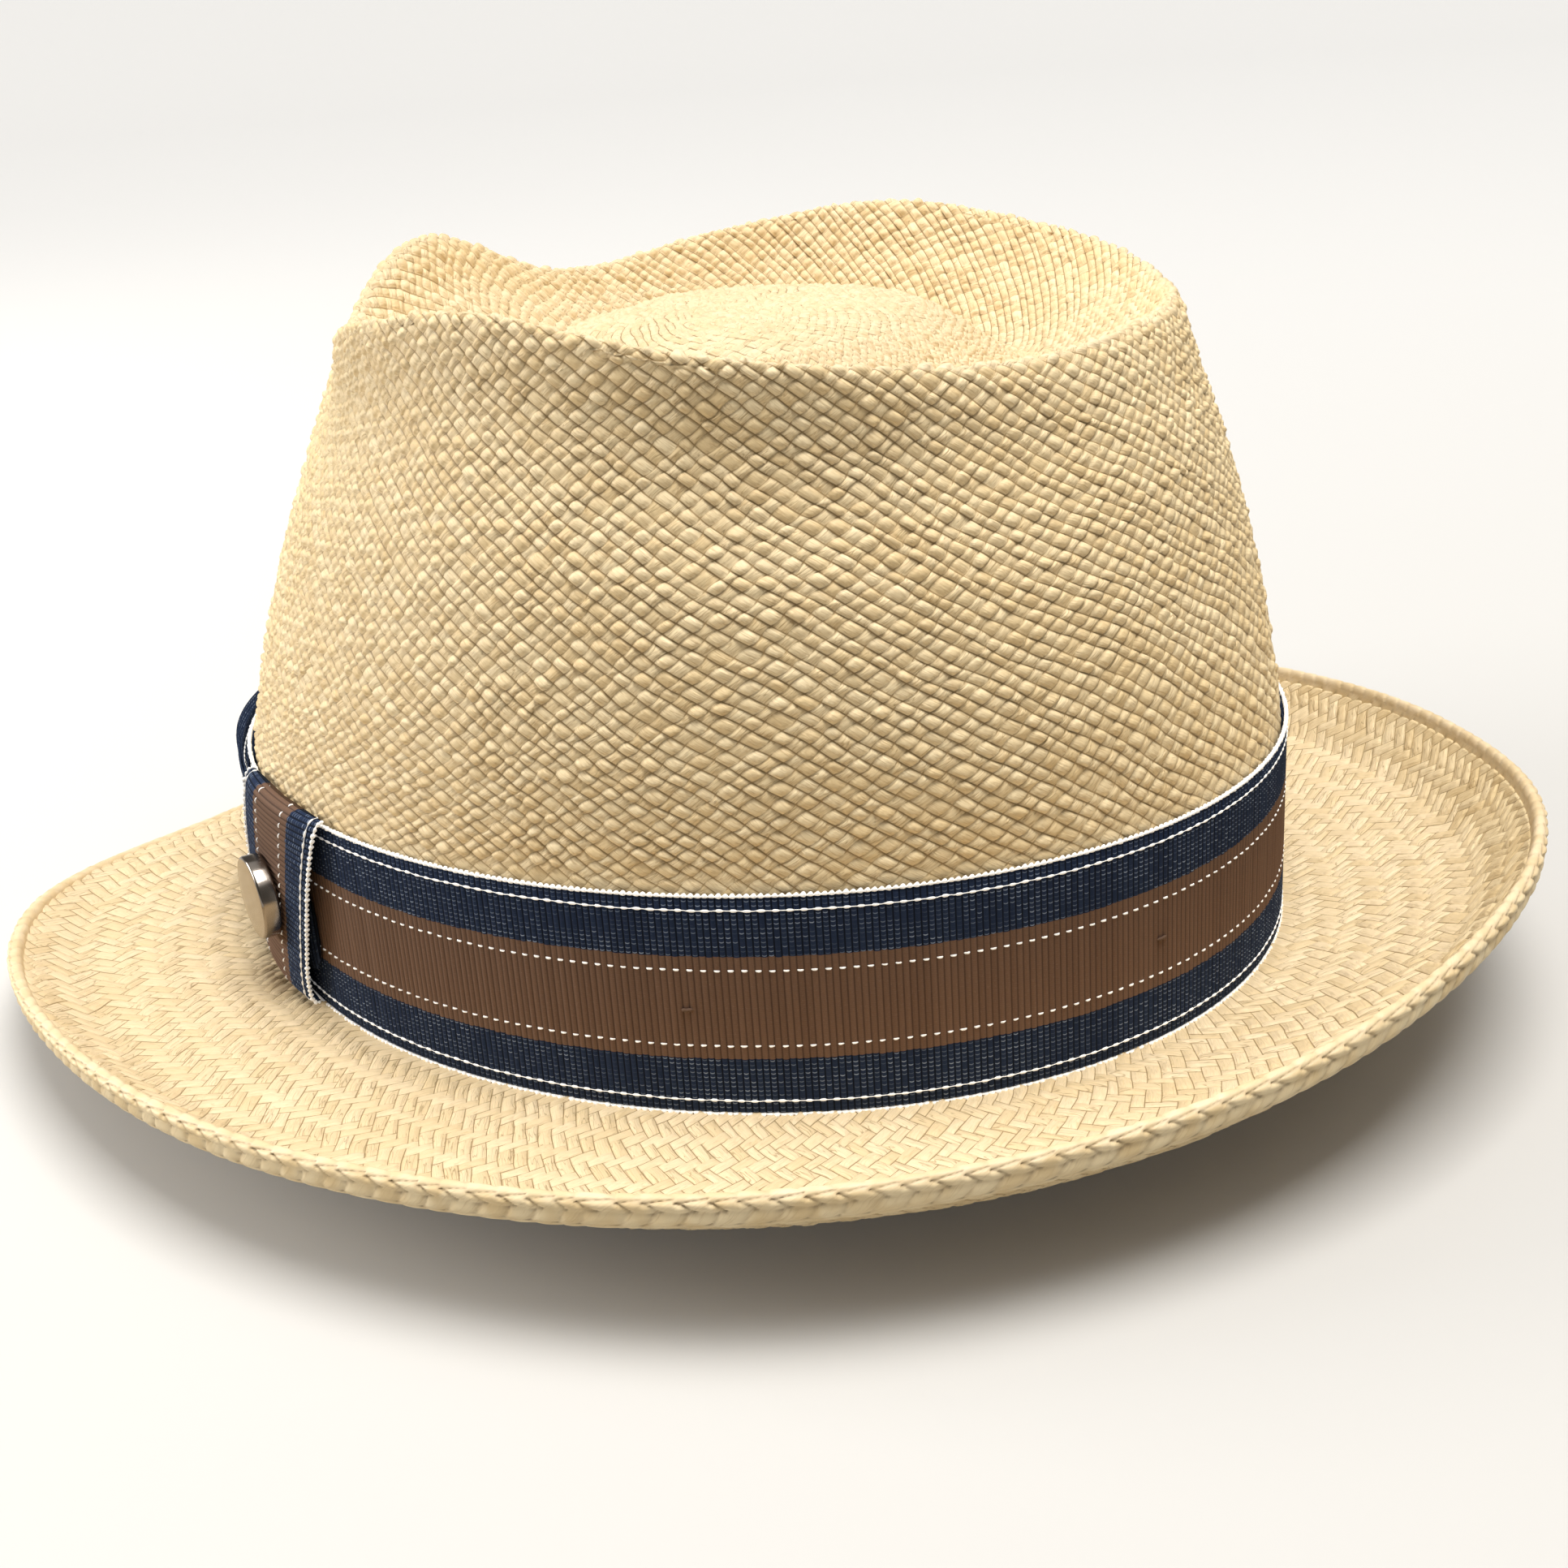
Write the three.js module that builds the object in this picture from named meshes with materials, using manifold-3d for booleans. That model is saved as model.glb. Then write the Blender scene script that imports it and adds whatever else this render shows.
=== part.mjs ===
// Fedora hat, woven straw, with a ribbon hatband, a side bow with a wrapped
// knot and a round metal pin, and a leather sweatband inside.
//
// Millimetres. +Z up, the front of the hat faces -Y and the wearer's left is
// +X. Shapes are drawn about the centre of the head opening, in the plane where
// the brim leaves the crown, and the whole hat is then moved so that the origin
// is the middle of the bottom of its box.
//
// Most points are given by three values:
//   phi  degrees round the hat: front 0, wearer's left 90, back 180, right 270
//   out  distance outward from the crown's straight wall, negative inside
//   z    height above the head opening
import * as THREE from "three";
import { mergeVertices } from "three/addons/utils/BufferGeometryUtils.js";
import Module from "manifold-3d";

// ---------------------------------------------------------------- shared sizes
const HALF_LENGTH = 101.5; // outer oval at the foot of the crown, front to back
const HALF_WIDTH = 88.5; //   and side to side
const WALL_TOP = 38.0; // height of the straight wall behind the hatband
const TAPER = 0.996; // oval at the wall's top over the oval at its foot
const STRAW_T = 1.6; // thickness of the woven straw
const GAP = 0.35; // clearance between neighbouring pieces
const OPENING_CENTRE = [-0.1259, -0.9616, 10.2127]; // from the origin
const STEPS_ROUND = 48;

// ---------------------------------------------------------------- helpers
const RAD = Math.PI / 180;
const sinDeg = (angle) => Math.sin(angle * RAD);
const cosDeg = (angle) => Math.cos(angle * RAD);

// n + 1 evenly spaced values, both ends included.
const spread = (from, to, n) =>
  Array.from({ length: n + 1 }, (_, i) => from + ((to - from) * i) / n);
// n evenly spaced angles of a full turn.
const turnAngles = (n) => spread(0, 360, n).slice(0, n);
const ANGLES = turnAngles(STEPS_ROUND);

// Periodic Catmull-Rom curve through equally spaced values, for phi from 0 up
// to 360.
function roundCurve(values) {
  const at = (i) => values[(i + values.length) % values.length];
  return (phi) => {
    const place = (phi / 360) * values.length;
    const k = Math.floor(place);
    const t = place - k;
    const [before, start, end, after] = [at(k - 1), at(k), at(k + 1), at(k + 2)];
    return (
      0.5 *
      (2 * start +
        (end - before) * t +
        (2 * before - 5 * start + 4 * end - after) * t * t +
        (3 * start - before - 3 * end + after) * t ** 3)
    );
  };
}
// The same from values at phi = 0, 30 .. 180, mirrored to the other side.
const mirroredCurve = (half) => roundCurve([...half, ...half.slice(1, -1).reverse()]);

// Radius of the oval at the foot of the crown, and its outward normal.
const ovalRadius = (phi) =>
  (HALF_LENGTH * HALF_WIDTH) / Math.hypot(HALF_WIDTH * cosDeg(phi), HALF_LENGTH * sinDeg(phi));
function wallNormal(phi) {
  const x = sinDeg(phi) / HALF_WIDTH ** 2;
  const y = -cosDeg(phi) / HALF_LENGTH ** 2;
  const length = Math.hypot(x, y);
  return [x / length, y / length];
}

// A point at a distance from the hat's upright axis.
const polar = (phi, radius, z) =>
  new THREE.Vector3(radius * sinDeg(phi), -radius * cosDeg(phi), z);
// A point off the straight wall, which tapers from z = 0 to WALL_TOP.
function onWall(phi, out, z) {
  const height = Math.min(Math.max(z, 0), WALL_TOP);
  const scale = 1 - ((1 - TAPER) * height) / WALL_TOP;
  const [normalX, normalY] = wallNormal(phi);
  const point = polar(phi, ovalRadius(phi) * scale, z);
  return point.add(new THREE.Vector3(normalX * out, normalY * out, 0));
}
// A point measured from the oval at the wall's foot, whatever its height.
const offFoot = (phi, out, z) => onWall(phi, out, 0).setZ(z);
// The angle reached from phi by going mm along the wall.
const alongWall = (phi, mm) => phi + mm / (ovalRadius(phi) * RAD);

// Four corners of a box section at phi.
const boxSection = (phi, out0, out1, z0, z1) => [
  onWall(phi, out0, z0),
  onWall(phi, out1, z0),
  onWall(phi, out1, z1),
  onWall(phi, out0, z1),
];

const quad = (a, b, c, d) => [
  [a, b, c],
  [a, c, d],
];

function signedVolume(points, faces) {
  const cross = new THREE.Vector3();
  const sum = faces.reduce(
    (total, [a, b, c]) => total + points[a].dot(cross.crossVectors(points[b], points[c])),
    0,
  );
  return sum / 6;
}

// Geometry from points and consistently wound triangles, turned to face out.
function solid(points, faces) {
  const inverted = signedVolume(points, faces) < 0;
  const outward = inverted ? faces.map(([a, b, c]) => [a, c, b]) : faces;
  const geometry = new THREE.BufferGeometry();
  const positions = points.flatMap((p) => [p.x, p.y, p.z]);
  geometry.setAttribute("position", new THREE.Float32BufferAttribute(positions, 3));
  geometry.setIndex(outward.flat());
  return geometry;
}

// Side faces joining each section to the next, and the last to the first if
// the sweep is closed.
function sideFaces(sections, closed) {
  const count = sections.length;
  const size = sections[0].length;
  const faces = [];
  for (let i = 0; i < (closed ? count : count - 1); i++) {
    const here = i * size;
    const next = ((i + 1) % count) * size;
    for (let j = 0; j < size; j++) {
      const k = (j + 1) % size;
      faces.push(...quad(here + j, here + k, next + k, next + j));
    }
  }
  return faces;
}

// A closed ring round the hat: section(phi) gives the points at each step.
function ring(section) {
  const sections = ANGLES.map((phi) => section(phi));
  return solid(sections.flat(), sideFaces(sections, true));
}

// An open strip with flat ends. The outline is the section's 2-D shape,
// counter-clockwise, and is only used to triangulate the ends.
const SQUARE = [[0, 0], [1, 0], [1, 1], [0, 1]];
function strip(stations, section, outline = SQUARE) {
  const sections = stations.map(section);
  const faces = sideFaces(sections, false);
  const end = (sections.length - 1) * outline.length;
  const cap = THREE.ShapeUtils.triangulateShape(
    outline.map(([x, y]) => new THREE.Vector2(x, y)),
    [],
  );
  for (const [a, b, c] of cap) faces.push([a, c, b], [end + a, end + b, end + c]);
  return solid(sections.flat(), faces);
}

// ---------------------------------------------------------------- crown
// Heights and radii at phi = 0, 30 .. 180, the same on both sides.
const ridgeRadius = mirroredCurve([66.5, 67.5, 68.5, 71.5, 80.0, 80.4, 79.0]);
const ridgeHeight = mirroredCurve([125.0, 114.0, 118.8, 123.0, 117.0, 111.5, 111.3]);
const shoulderRadius = mirroredCurve([78.0, 72.2, 69.5, 73.5, 79.5, 84.0, 84.6]);
const SHOULDER_DROP = 11.9; // ridge down to shoulder
const belly = mirroredCurve([5.0, 2.6, 1.4, 2.8, 3.3, 3.0, 1.0]); // outward, at mid-height
const grooveInset = mirroredCurve([27.0, 22.0, 17.5, 18.0, 19.5, 20.5, 21.7]); // from ridge
const grooveHeight = mirroredCurve([98.0, 97.0, 97.0, 97.0, 96.5, 98.0, 97.2]);
const DOME_Z = 112.5; // middle of the raised teardrop
const DOME_EDGE_Z = 111.0; // its shoulder
const DOME_SPAN = 0.58; // shoulder radius over groove radius
const SLOPE_OUT = 0.7; // point between groove and ridge: share of the way out
const SLOPE_UP = 0.6; //   and share of the way up
const SIDE_SHARES = [0.66, 0.32]; // side points, share of the way up to the shoulder

// Curve parameter at each point of the crown's profile, middle to wall top.
const PROFILE_U = [0, 30, 55, 72, 86, 102, 138, 176, 214];

// The crown's profile at phi: a Hermite curve from the middle of the top, over
// the dome, the groove and the ridge, down to the wall. Gives [radius, z] at u.
function crownProfile(phi) {
  const ridge = [ridgeRadius(phi), ridgeHeight(phi)];
  const shoulder = [shoulderRadius(phi), ridge[1] - SHOULDER_DROP];
  const groove = [ridge[0] - grooveInset(phi), grooveHeight(phi)];
  const wall = [ovalRadius(phi) * TAPER, WALL_TOP];
  const mix = (from, to, share) => from * (1 - share) + to * share;
  const sidePoint = (share) => [
    mix(wall[0], shoulder[0], share) + belly(phi) * 4 * share * (1 - share),
    mix(wall[1], shoulder[1], share),
  ];
  const points = [
    [0, DOME_Z],
    [groove[0] * DOME_SPAN, DOME_EDGE_Z],
    groove,
    [mix(groove[0], ridge[0], SLOPE_OUT), mix(groove[1], ridge[1], SLOPE_UP)],
    ridge,
    shoulder,
    ...SIDE_SHARES.map(sidePoint),
    wall,
  ];
  const last = points.length - 1;
  const stepU = (k) => PROFILE_U[k + 1] - PROFILE_U[k];
  const slope = (k, i) => (points[k + 1][i] - points[k][i]) / stepU(k);
  const tangents = points.map((_, k) => {
    if (k === 0) return [slope(0, 0), 0]; // level in the middle of the top
    if (k === last) return [slope(k - 1, 0), slope(k - 1, 1)];
    const before = stepU(k - 1);
    const after = stepU(k);
    return [0, 1].map(
      (i) => (slope(k - 1, i) * after + slope(k, i) * before) / (before + after),
    );
  });
  return (u) => {
    let k = 0;
    while (k < last - 1 && u >= PROFILE_U[k + 1]) k++;
    const step = stepU(k);
    const t = (u - PROFILE_U[k]) / step;
    return [0, 1].map(
      (i) =>
        (2 * t ** 3 - 3 * t ** 2 + 1) * points[k][i] +
        (t ** 3 - 2 * t ** 2 + t) * step * tangents[k][i] +
        (3 * t ** 2 - 2 * t ** 3) * points[k + 1][i] +
        (t ** 3 - t ** 2) * step * tangents[k + 1][i],
    );
  };
}
const onCrown = (phi, u) => polar(phi, ...crownProfile(phi)(u));

// ---------------------------------------------------------------- brim
// Edge height at phi = 0, 30 .. 330, and width at 0, 30 .. 180.
const edgeHeight = roundCurve([
  -7.5, 4.6, 9.2, 12.6, 15.4, 18.6, 26.3, 19.5, 11.0, 6.9, 1.8, -3.3,
]);
const brimWidth = mirroredCurve([43.6, 50.8, 46.4, 45.3, 45.3, 42.5, 44.1]);
const BRIM_POWER = 1.6; // the brim rises as (share of its width) ** this ...
const CURL_FROM = 0.74; // ... and curls up beyond this share of its width,
const CURL_SHARE = 0.75; //     by this share of the edge's height,
const CURL_MOST = 8.0; //     but no more than this
const CURL_POWER = 1.4;

const RIM_H = 3.8; // woven rim, height
const RIM_T = 3.4; //   and width
const RIM_SLOT = 1.9; // depth of the slot that takes the brim's edge
const RIM_DROP = 0.3; // the rim's middle sits this far below the sheet's
const EDGE_BACK = RIM_T - RIM_SLOT; // the rim reaches this far past the sheet's edge

// Height of the brim's top; share is 0 at the crown, 1 at the rim's outside.
function brimHeight(phi, share) {
  const curl = Math.min(CURL_SHARE * Math.max(edgeHeight(phi), 0), CURL_MOST);
  const curlShare = Math.max(share - CURL_FROM, 0) / (1 - CURL_FROM);
  return (edgeHeight(phi) - curl) * share ** BRIM_POWER + curl * curlShare ** CURL_POWER;
}
// Share of the brim's width at which the straw sheet ends.
const sheetEnd = (phi) => (brimWidth(phi) - EDGE_BACK) / brimWidth(phi);

// ---------------------------------------------------------------- straw body
// Rows of the outer face, from the middle of the top out to the brim's edge.
const CROWN_ROWS_U = [
  13, 26, 36, 46, 55, 64, 72, 79, 86, 94, 102, 118, 138, 158, 176, 196, 214,
];
const WALL_ROWS_Z = [20, 1.5];
const FOOT_ROWS = [[0.45, 0.45], [1.5, 0.0]]; // [out, z], rounding wall into brim
const BRIM_ROWS = [0.18, 0.4, 0.6, 0.76, 0.88, 1.0]; // share of the sheet's width

function outerRows() {
  const brimPoint = (phi, rowShare) => {
    const share = rowShare * sheetEnd(phi);
    return offFoot(phi, brimWidth(phi) * share, brimHeight(phi, share));
  };
  return [
    ...CROWN_ROWS_U.map((u) => ANGLES.map((phi) => onCrown(phi, u))),
    ...WALL_ROWS_Z.map((z) => ANGLES.map((phi) => onWall(phi, 0, z))),
    ...FOOT_ROWS.map(([out, z]) => ANGLES.map((phi) => offFoot(phi, out, z))),
    ...BRIM_ROWS.map((share) => ANGLES.map((phi) => brimPoint(phi, share))),
  ];
}

// Each outer point moved in by the straw's thickness, along the normal found
// from its neighbours in the grid.
function offsetRows(rows, apex) {
  const n = STEPS_ROUND;
  const between = (from, to) => new THREE.Vector3().subVectors(to, from);
  return rows.map((row, k) =>
    row.map((point, i) => {
      const around = between(row[(i - 1 + n) % n], row[(i + 1) % n]);
      const down = between(k === 0 ? apex : rows[k - 1][i], point).normalize();
      if (k < rows.length - 1) down.add(between(point, rows[k + 1][i]).normalize());
      const outward = down.cross(around).normalize();
      return point.clone().addScaledVector(outward, -STRAW_T);
    }),
  );
}

// Crown and brim in one piece: a shell of even thickness.
function strawBody() {
  const apex = new THREE.Vector3(0, 0, DOME_Z);
  const innerApex = new THREE.Vector3(0, 0, DOME_Z - STRAW_T);
  const rows = outerRows();
  const points = [apex, ...rows.flat(), ...offsetRows(rows, apex).flat(), innerApex];
  const n = STEPS_ROUND;
  const last = rows.length - 1;
  const outer = (k, i) => 1 + k * n + (i % n);
  const inner = (k, i) => outer(k + rows.length, i);
  const faces = [];
  for (let i = 0; i < n; i++) {
    const j = i + 1;
    faces.push([0, outer(0, i), outer(0, j)]);
    faces.push([points.length - 1, inner(0, j), inner(0, i)]);
    for (let k = 0; k < last; k++) {
      faces.push(...quad(outer(k, i), outer(k + 1, i), outer(k + 1, j), outer(k, j)));
      faces.push(...quad(inner(k, i), inner(k, j), inner(k + 1, j), inner(k + 1, i)));
    }
    faces.push(...quad(outer(last, i), inner(last, i), inner(last, j), outer(last, j)));
  }
  return solid(points, faces);
}

// ---------------------------------------------------------------- woven rim
// Thick edge with a slot round its inside that the brim's sheet runs into. The
// section is [across, up] from the top of the sheet's edge, across being
// outward, and is turned with the brim's slope.
const RIM_OUTER_BEVEL = 1.1; // width of the bevel at the outside
const RIM_FLAT = 0.35; // the upright outside reaches this share of half the height
const RIM_LIP_IN = 0.3; // the slot's lips slope out over this width ...
const RIM_LIP_DROP = 0.2; // ... and end this far short of the full height
const SLOPE_FROM = 0.96; // the slope is taken from this share of the width to 1

function rimSection() {
  const sheetMiddle = -STRAW_T / 2;
  const middle = sheetMiddle - RIM_DROP;
  const slotHalf = STRAW_T / 2 + GAP;
  const half = RIM_H / 2;
  return [
    [-RIM_SLOT, sheetMiddle + slotHalf],
    [-RIM_SLOT + RIM_LIP_IN, middle + half - RIM_LIP_DROP],
    [EDGE_BACK - RIM_OUTER_BEVEL, middle + half],
    [EDGE_BACK, middle + half * RIM_FLAT],
    [EDGE_BACK, middle - half * RIM_FLAT],
    [EDGE_BACK - RIM_OUTER_BEVEL, middle - half],
    [-RIM_SLOT + RIM_LIP_IN, middle - half + RIM_LIP_DROP],
    [-RIM_SLOT, sheetMiddle - slotHalf],
    [GAP, sheetMiddle - slotHalf],
    [GAP, sheetMiddle + slotHalf],
  ];
}

function rimBraid() {
  const section = rimSection();
  return ring((phi) => {
    const width = brimWidth(phi);
    const rise = brimHeight(phi, 1) - brimHeight(phi, SLOPE_FROM);
    const slope = rise / ((1 - SLOPE_FROM) * width);
    const cos = 1 / Math.hypot(1, slope);
    const sin = slope * cos;
    const edgeOut = width - EDGE_BACK;
    const edgeZ = brimHeight(phi, sheetEnd(phi));
    return section.map(([across, up]) =>
      offFoot(phi, edgeOut + across * cos - up * sin, edgeZ + across * sin + up * cos),
    );
  });
}

// ---------------------------------------------------------------- sweatband
const SWEAT_T = 1.0;
const SWEAT_TOP = 32.0;
const SWEAT_ROWS_Z = [-0.6, 4, 11, 18, SWEAT_TOP];
const LINING_OUT = -(STRAW_T + 0.45); // outer face of what lines the crown
const SWEAT_STAND_OFF = 2.0; // the foot stands in by this much more,
const SWEAT_LEAN_TOP = SWEAT_TOP * 0.55; // dying out at this height
const REED_R = 0.8;
const REED_Z = 0.6;
const REED_SIDES = 6;
const SEAM_STITCH_Z = 3.0;
const SEAM_STITCH_H = 0.5;
const SEAM_STITCH_T = 0.4;

// Outer face of the sweatband at z, and the face for pieces on its head side.
const sweatOut = (z) =>
  LINING_OUT - SWEAT_STAND_OFF * Math.max(0, 1 - Math.max(z, 0) / SWEAT_LEAN_TOP);
const headSideOut = (z) => sweatOut(z) - SWEAT_T - GAP;

// Leather strip inside the head opening. Its foot stands off the straw to
// leave room for the reed, and its top leans out against the crown.
const sweatband = () =>
  ring((phi) => [
    ...SWEAT_ROWS_Z.map((z) => onWall(phi, sweatOut(z), z)),
    ...SWEAT_ROWS_Z.toReversed().map((z) => onWall(phi, sweatOut(z) - SWEAT_T, z)),
  ]);

// Flexible wire that holds the sweatband's foot in an oval.
function sweatbandReed() {
  const middle = -(STRAW_T + GAP + REED_R);
  const section = turnAngles(REED_SIDES).map((angle) => [
    middle + REED_R * cosDeg(angle),
    REED_Z + REED_R * sinDeg(angle),
  ]);
  return ring((phi) => section.map(([out, z]) => offFoot(phi, out, z)));
}

// Line of stitching near the sweatband's foot, on the head side.
function sweatbandStitch() {
  const out = headSideOut(SEAM_STITCH_Z);
  const half = SEAM_STITCH_H / 2;
  return ring((phi) =>
    boxSection(phi, out - SEAM_STITCH_T, out, SEAM_STITCH_Z - half, SEAM_STITCH_Z + half),
  );
}

// Small ribbon bow at the back, on the head side: a knot between two loops.
const SMALL_BOW_Z = 9.0;
const SMALL_BOW_OUT = headSideOut(SMALL_BOW_Z) - 0.9;
const SMALL_KNOT = { halfWidth: 2.6, halfHeight: 3.0, thickness: 2.4 };
const SMALL_LOOP = { near: 3.0, far: 16 }; // mm along the wall from the middle

function smallBowPiece(from, to, halfHeight, thickness) {
  const farthest = Math.max(Math.abs(from), Math.abs(to));
  return strip(spread(from, to, 5), (mm) => {
    const share = Math.abs(mm) / farthest;
    const half = halfHeight(share);
    return boxSection(
      alongWall(180, mm),
      SMALL_BOW_OUT - thickness(share),
      SMALL_BOW_OUT,
      SMALL_BOW_Z - half,
      SMALL_BOW_Z + half,
    );
  });
}
function smallBowKnot() {
  const { halfWidth, halfHeight, thickness } = SMALL_KNOT;
  return smallBowPiece(-halfWidth, halfWidth, () => halfHeight, () => thickness);
}
// A loop widens away from the knot.
const smallBowLoop = (from, to) =>
  smallBowPiece(
    from,
    to,
    (share) => 2.2 + 2.0 * share,
    (share) => 1.0 + 0.8 * Math.sin(Math.PI * share),
  );

// Blank label standing above the sweatband, at the back towards the right.
const LABEL = {
  from: 20, // mm along the wall from the back
  to: 34,
  thickness: 0.5,
  bottom: SWEAT_TOP + 0.6,
  top: WALL_TOP - 0.5,
};
const sizeLabel = () =>
  strip(spread(LABEL.from, LABEL.to, 3), (mm) =>
    boxSection(
      alongWall(180, mm),
      LINING_OUT - LABEL.thickness,
      LINING_OUT,
      LABEL.bottom,
      LABEL.top,
    ),
  );

// ---------------------------------------------------------------- hatband
const BAND_BOTTOM = 1.8;
const BAND_TOP = 38.8;
const BAND_T = 0.8;
const BAND_OUTSIDE = GAP + BAND_T;
const BAND_SEAM_PHI = 46.0; // where its ends meet, under the bow
const BAND_SEAM_HALF = 0.25; // half the space between the ends, degrees

// One strip of ribbon round the crown.
const hatband = () =>
  strip(
    spread(BAND_SEAM_PHI + BAND_SEAM_HALF, BAND_SEAM_PHI + 360 - BAND_SEAM_HALF, 64),
    (phi) => boxSection(phi, GAP, BAND_OUTSIDE, BAND_BOTTOM, BAND_TOP),
  );

// Short stitches on the hatband, each lying along the wall.
const TACK_PHIS = [112.5, 160, 208, 255, 303, 350];
const TACK = { z: 19.0, halfLength: 0.9, halfHeight: 0.3, thickness: 0.5, standOff: 0.3 };
function tackStitch(middlePhi) {
  const out = BAND_OUTSIDE + TACK.standOff;
  return strip([-TACK.halfLength, TACK.halfLength], (mm) =>
    boxSection(
      alongWall(middlePhi, mm),
      out,
      out + TACK.thickness,
      TACK.z - TACK.halfHeight,
      TACK.z + TACK.halfHeight,
    ),
  );
}

// ---------------------------------------------------------------- bow
// Lengths along the wall are in mm from the knot's middle, negative forward.
const KNOT_PHI = 52.5;
const KNOT_W = 33.0; // width of the wrapped ribbon
const KNOT_LEAN = 0.2; // degrees of phi for each mm of height
const KNOT_T = 0.8;
const KNOT_IN = 3.6; // inner face of the knot's front panel
const KNOT_OUT = KNOT_IN + KNOT_T;
const KNOT_BOTTOM = 0.6;
const KNOT_TOP = 40.0;
const KNOT_BOTTOM_OUT = 1.5; // where the turned-in bottom ends, towards the crown
const KNOT_TOP_OUT = 0.8; //   and the turned-in top
const PIN_Z = 19.5;
const PIN_HOLE_R = 1.0;

const BOW_IN = BAND_OUTSIDE + GAP; // the bow's innermost layer starts here
const LOOP_START = -KNOT_W / 2 + 10; // under the knot
const LOOP_END = -KNOT_W / 2 - 50;
const LOOP_FLAT = 0.33; // share of the loop's length before it swells
const TAIL_T = 0.5;
const TAIL_EXTRA = 6; // the tail runs this far past the loop

const atKnot = (mm) => alongWall(KNOT_PHI, mm);

// Folded length of ribbon that runs forward from under the knot.
function bowLoop() {
  const out = BOW_IN + TAIL_T + GAP;
  return strip(spread(LOOP_START, LOOP_END, 9), (mm) => {
    const share = (LOOP_START - mm) / (LOOP_START - LOOP_END);
    const swell = Math.max(0, (share - LOOP_FLAT) / (1 - LOOP_FLAT));
    const thickness = 0.85 + 1.9 * Math.sin(Math.PI * swell);
    const bottom = 2.6 + 2.2 * (1 - share) ** 3;
    const top = 38.0 + 1.2 * share;
    return boxSection(atKnot(mm), out, out + thickness, bottom, top);
  });
}

// Flat end of the ribbon, between the loop and the hatband.
const bowTail = () =>
  strip(spread(LOOP_START, LOOP_END - TAIL_EXTRA, 9), (mm) =>
    boxSection(atKnot(mm), BOW_IN, BOW_IN + TAIL_T, 3.2, 37.2),
  );

// Turned-under end of the bow's ribbon, beneath the back half of the knot.
const FOLD = {
  start: 6.6,
  step: 1.9,
  z: 16.5,
  halfHeight: 9.0,
  heightShares: [0.62, 0.9, 1.0, 0.9, 0.55], // at each step
  thickness: 1.5,
  outerShare: 0.9, // height of the outer face over the inner
};
const bowInnerFold = () =>
  strip(FOLD.heightShares, (share, i) => {
    const phi = atKnot(FOLD.start + i * FOLD.step);
    const innerHalf = FOLD.halfHeight * share;
    const outerHalf = innerHalf * FOLD.outerShare;
    return [
      onWall(phi, BOW_IN, FOLD.z - innerHalf),
      onWall(phi, BOW_IN + FOLD.thickness, FOLD.z - outerHalf),
      onWall(phi, BOW_IN + FOLD.thickness, FOLD.z + outerHalf),
      onWall(phi, BOW_IN, FOLD.z + innerHalf),
    ];
  });

const wasm = await Module();
wasm.setup();
function toManifold(geometry) {
  const bare = new THREE.BufferGeometry();
  bare.setAttribute("position", geometry.attributes.position);
  bare.setIndex(geometry.index);
  const merged = mergeVertices(bare, 1e-4);
  const mesh = new wasm.Mesh({
    numProp: 3,
    vertProperties: merged.attributes.position.array,
    triVerts: new Uint32Array(merged.index.array),
  });
  return new wasm.Manifold(mesh);
}
function fromManifold(manifold) {
  const { vertProperties, triVerts } = manifold.getMesh();
  const geometry = new THREE.BufferGeometry();
  const positions = new Float32Array(vertProperties);
  geometry.setAttribute("position", new THREE.BufferAttribute(positions, 3));
  geometry.setIndex(new THREE.BufferAttribute(new Uint32Array(triVerts), 1));
  return geometry;
}

// A turned piece on the pin's axis, which is level and square to the wall.
// Profile points are [radius, out].
function turned(profile, segments) {
  const axis = new THREE.Vector3(...wallNormal(KNOT_PHI), 0);
  const foot = onWall(KNOT_PHI, 0, PIN_Z);
  const geometry = new THREE.LatheGeometry(
    profile.map(([radius, out]) => new THREE.Vector2(radius, out)),
    segments,
  );
  const upToAxis = new THREE.Quaternion().setFromUnitVectors(new THREE.Vector3(0, 1, 0), axis);
  geometry.applyQuaternion(upToAxis);
  geometry.translate(foot.x, foot.y, foot.z);
  return geometry;
}

// Ribbon wrapped upright over the band and the bow, its top leaning back a
// little, with a hole that the pin's post goes through.
function bowKnot() {
  const middleZ = [10.0, 19.5, 29.0]; // rows between the panel's bottom and top
  const insideTop = KNOT_TOP - KNOT_T;
  const insideBottom = KNOT_BOTTOM + KNOT_T;
  // [out, z], up the outside and down the inside
  const outline = [
    ...[KNOT_BOTTOM, ...middleZ, KNOT_TOP].map((z) => [KNOT_OUT, z]),
    [KNOT_TOP_OUT, KNOT_TOP],
    [KNOT_TOP_OUT, insideTop],
    ...[insideTop, ...middleZ.toReversed(), insideBottom].map((z) => [KNOT_IN, z]),
    [KNOT_BOTTOM_OUT, insideBottom],
    [KNOT_BOTTOM_OUT, KNOT_BOTTOM],
  ];
  const body = strip(
    spread(-KNOT_W / 2, KNOT_W / 2, 10),
    (mm) => outline.map(([out, z]) => onWall(atKnot(mm) + KNOT_LEAN * (z - PIN_Z), out, z)),
    outline,
  );
  const hole = turned(
    [
      [0, KNOT_IN - 1],
      [PIN_HOLE_R, KNOT_IN - 1],
      [PIN_HOLE_R, KNOT_OUT + 1],
      [0, KNOT_OUT + 1],
    ],
    12,
  );
  return fromManifold(toManifold(body).subtract(toManifold(hole)));
}

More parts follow.
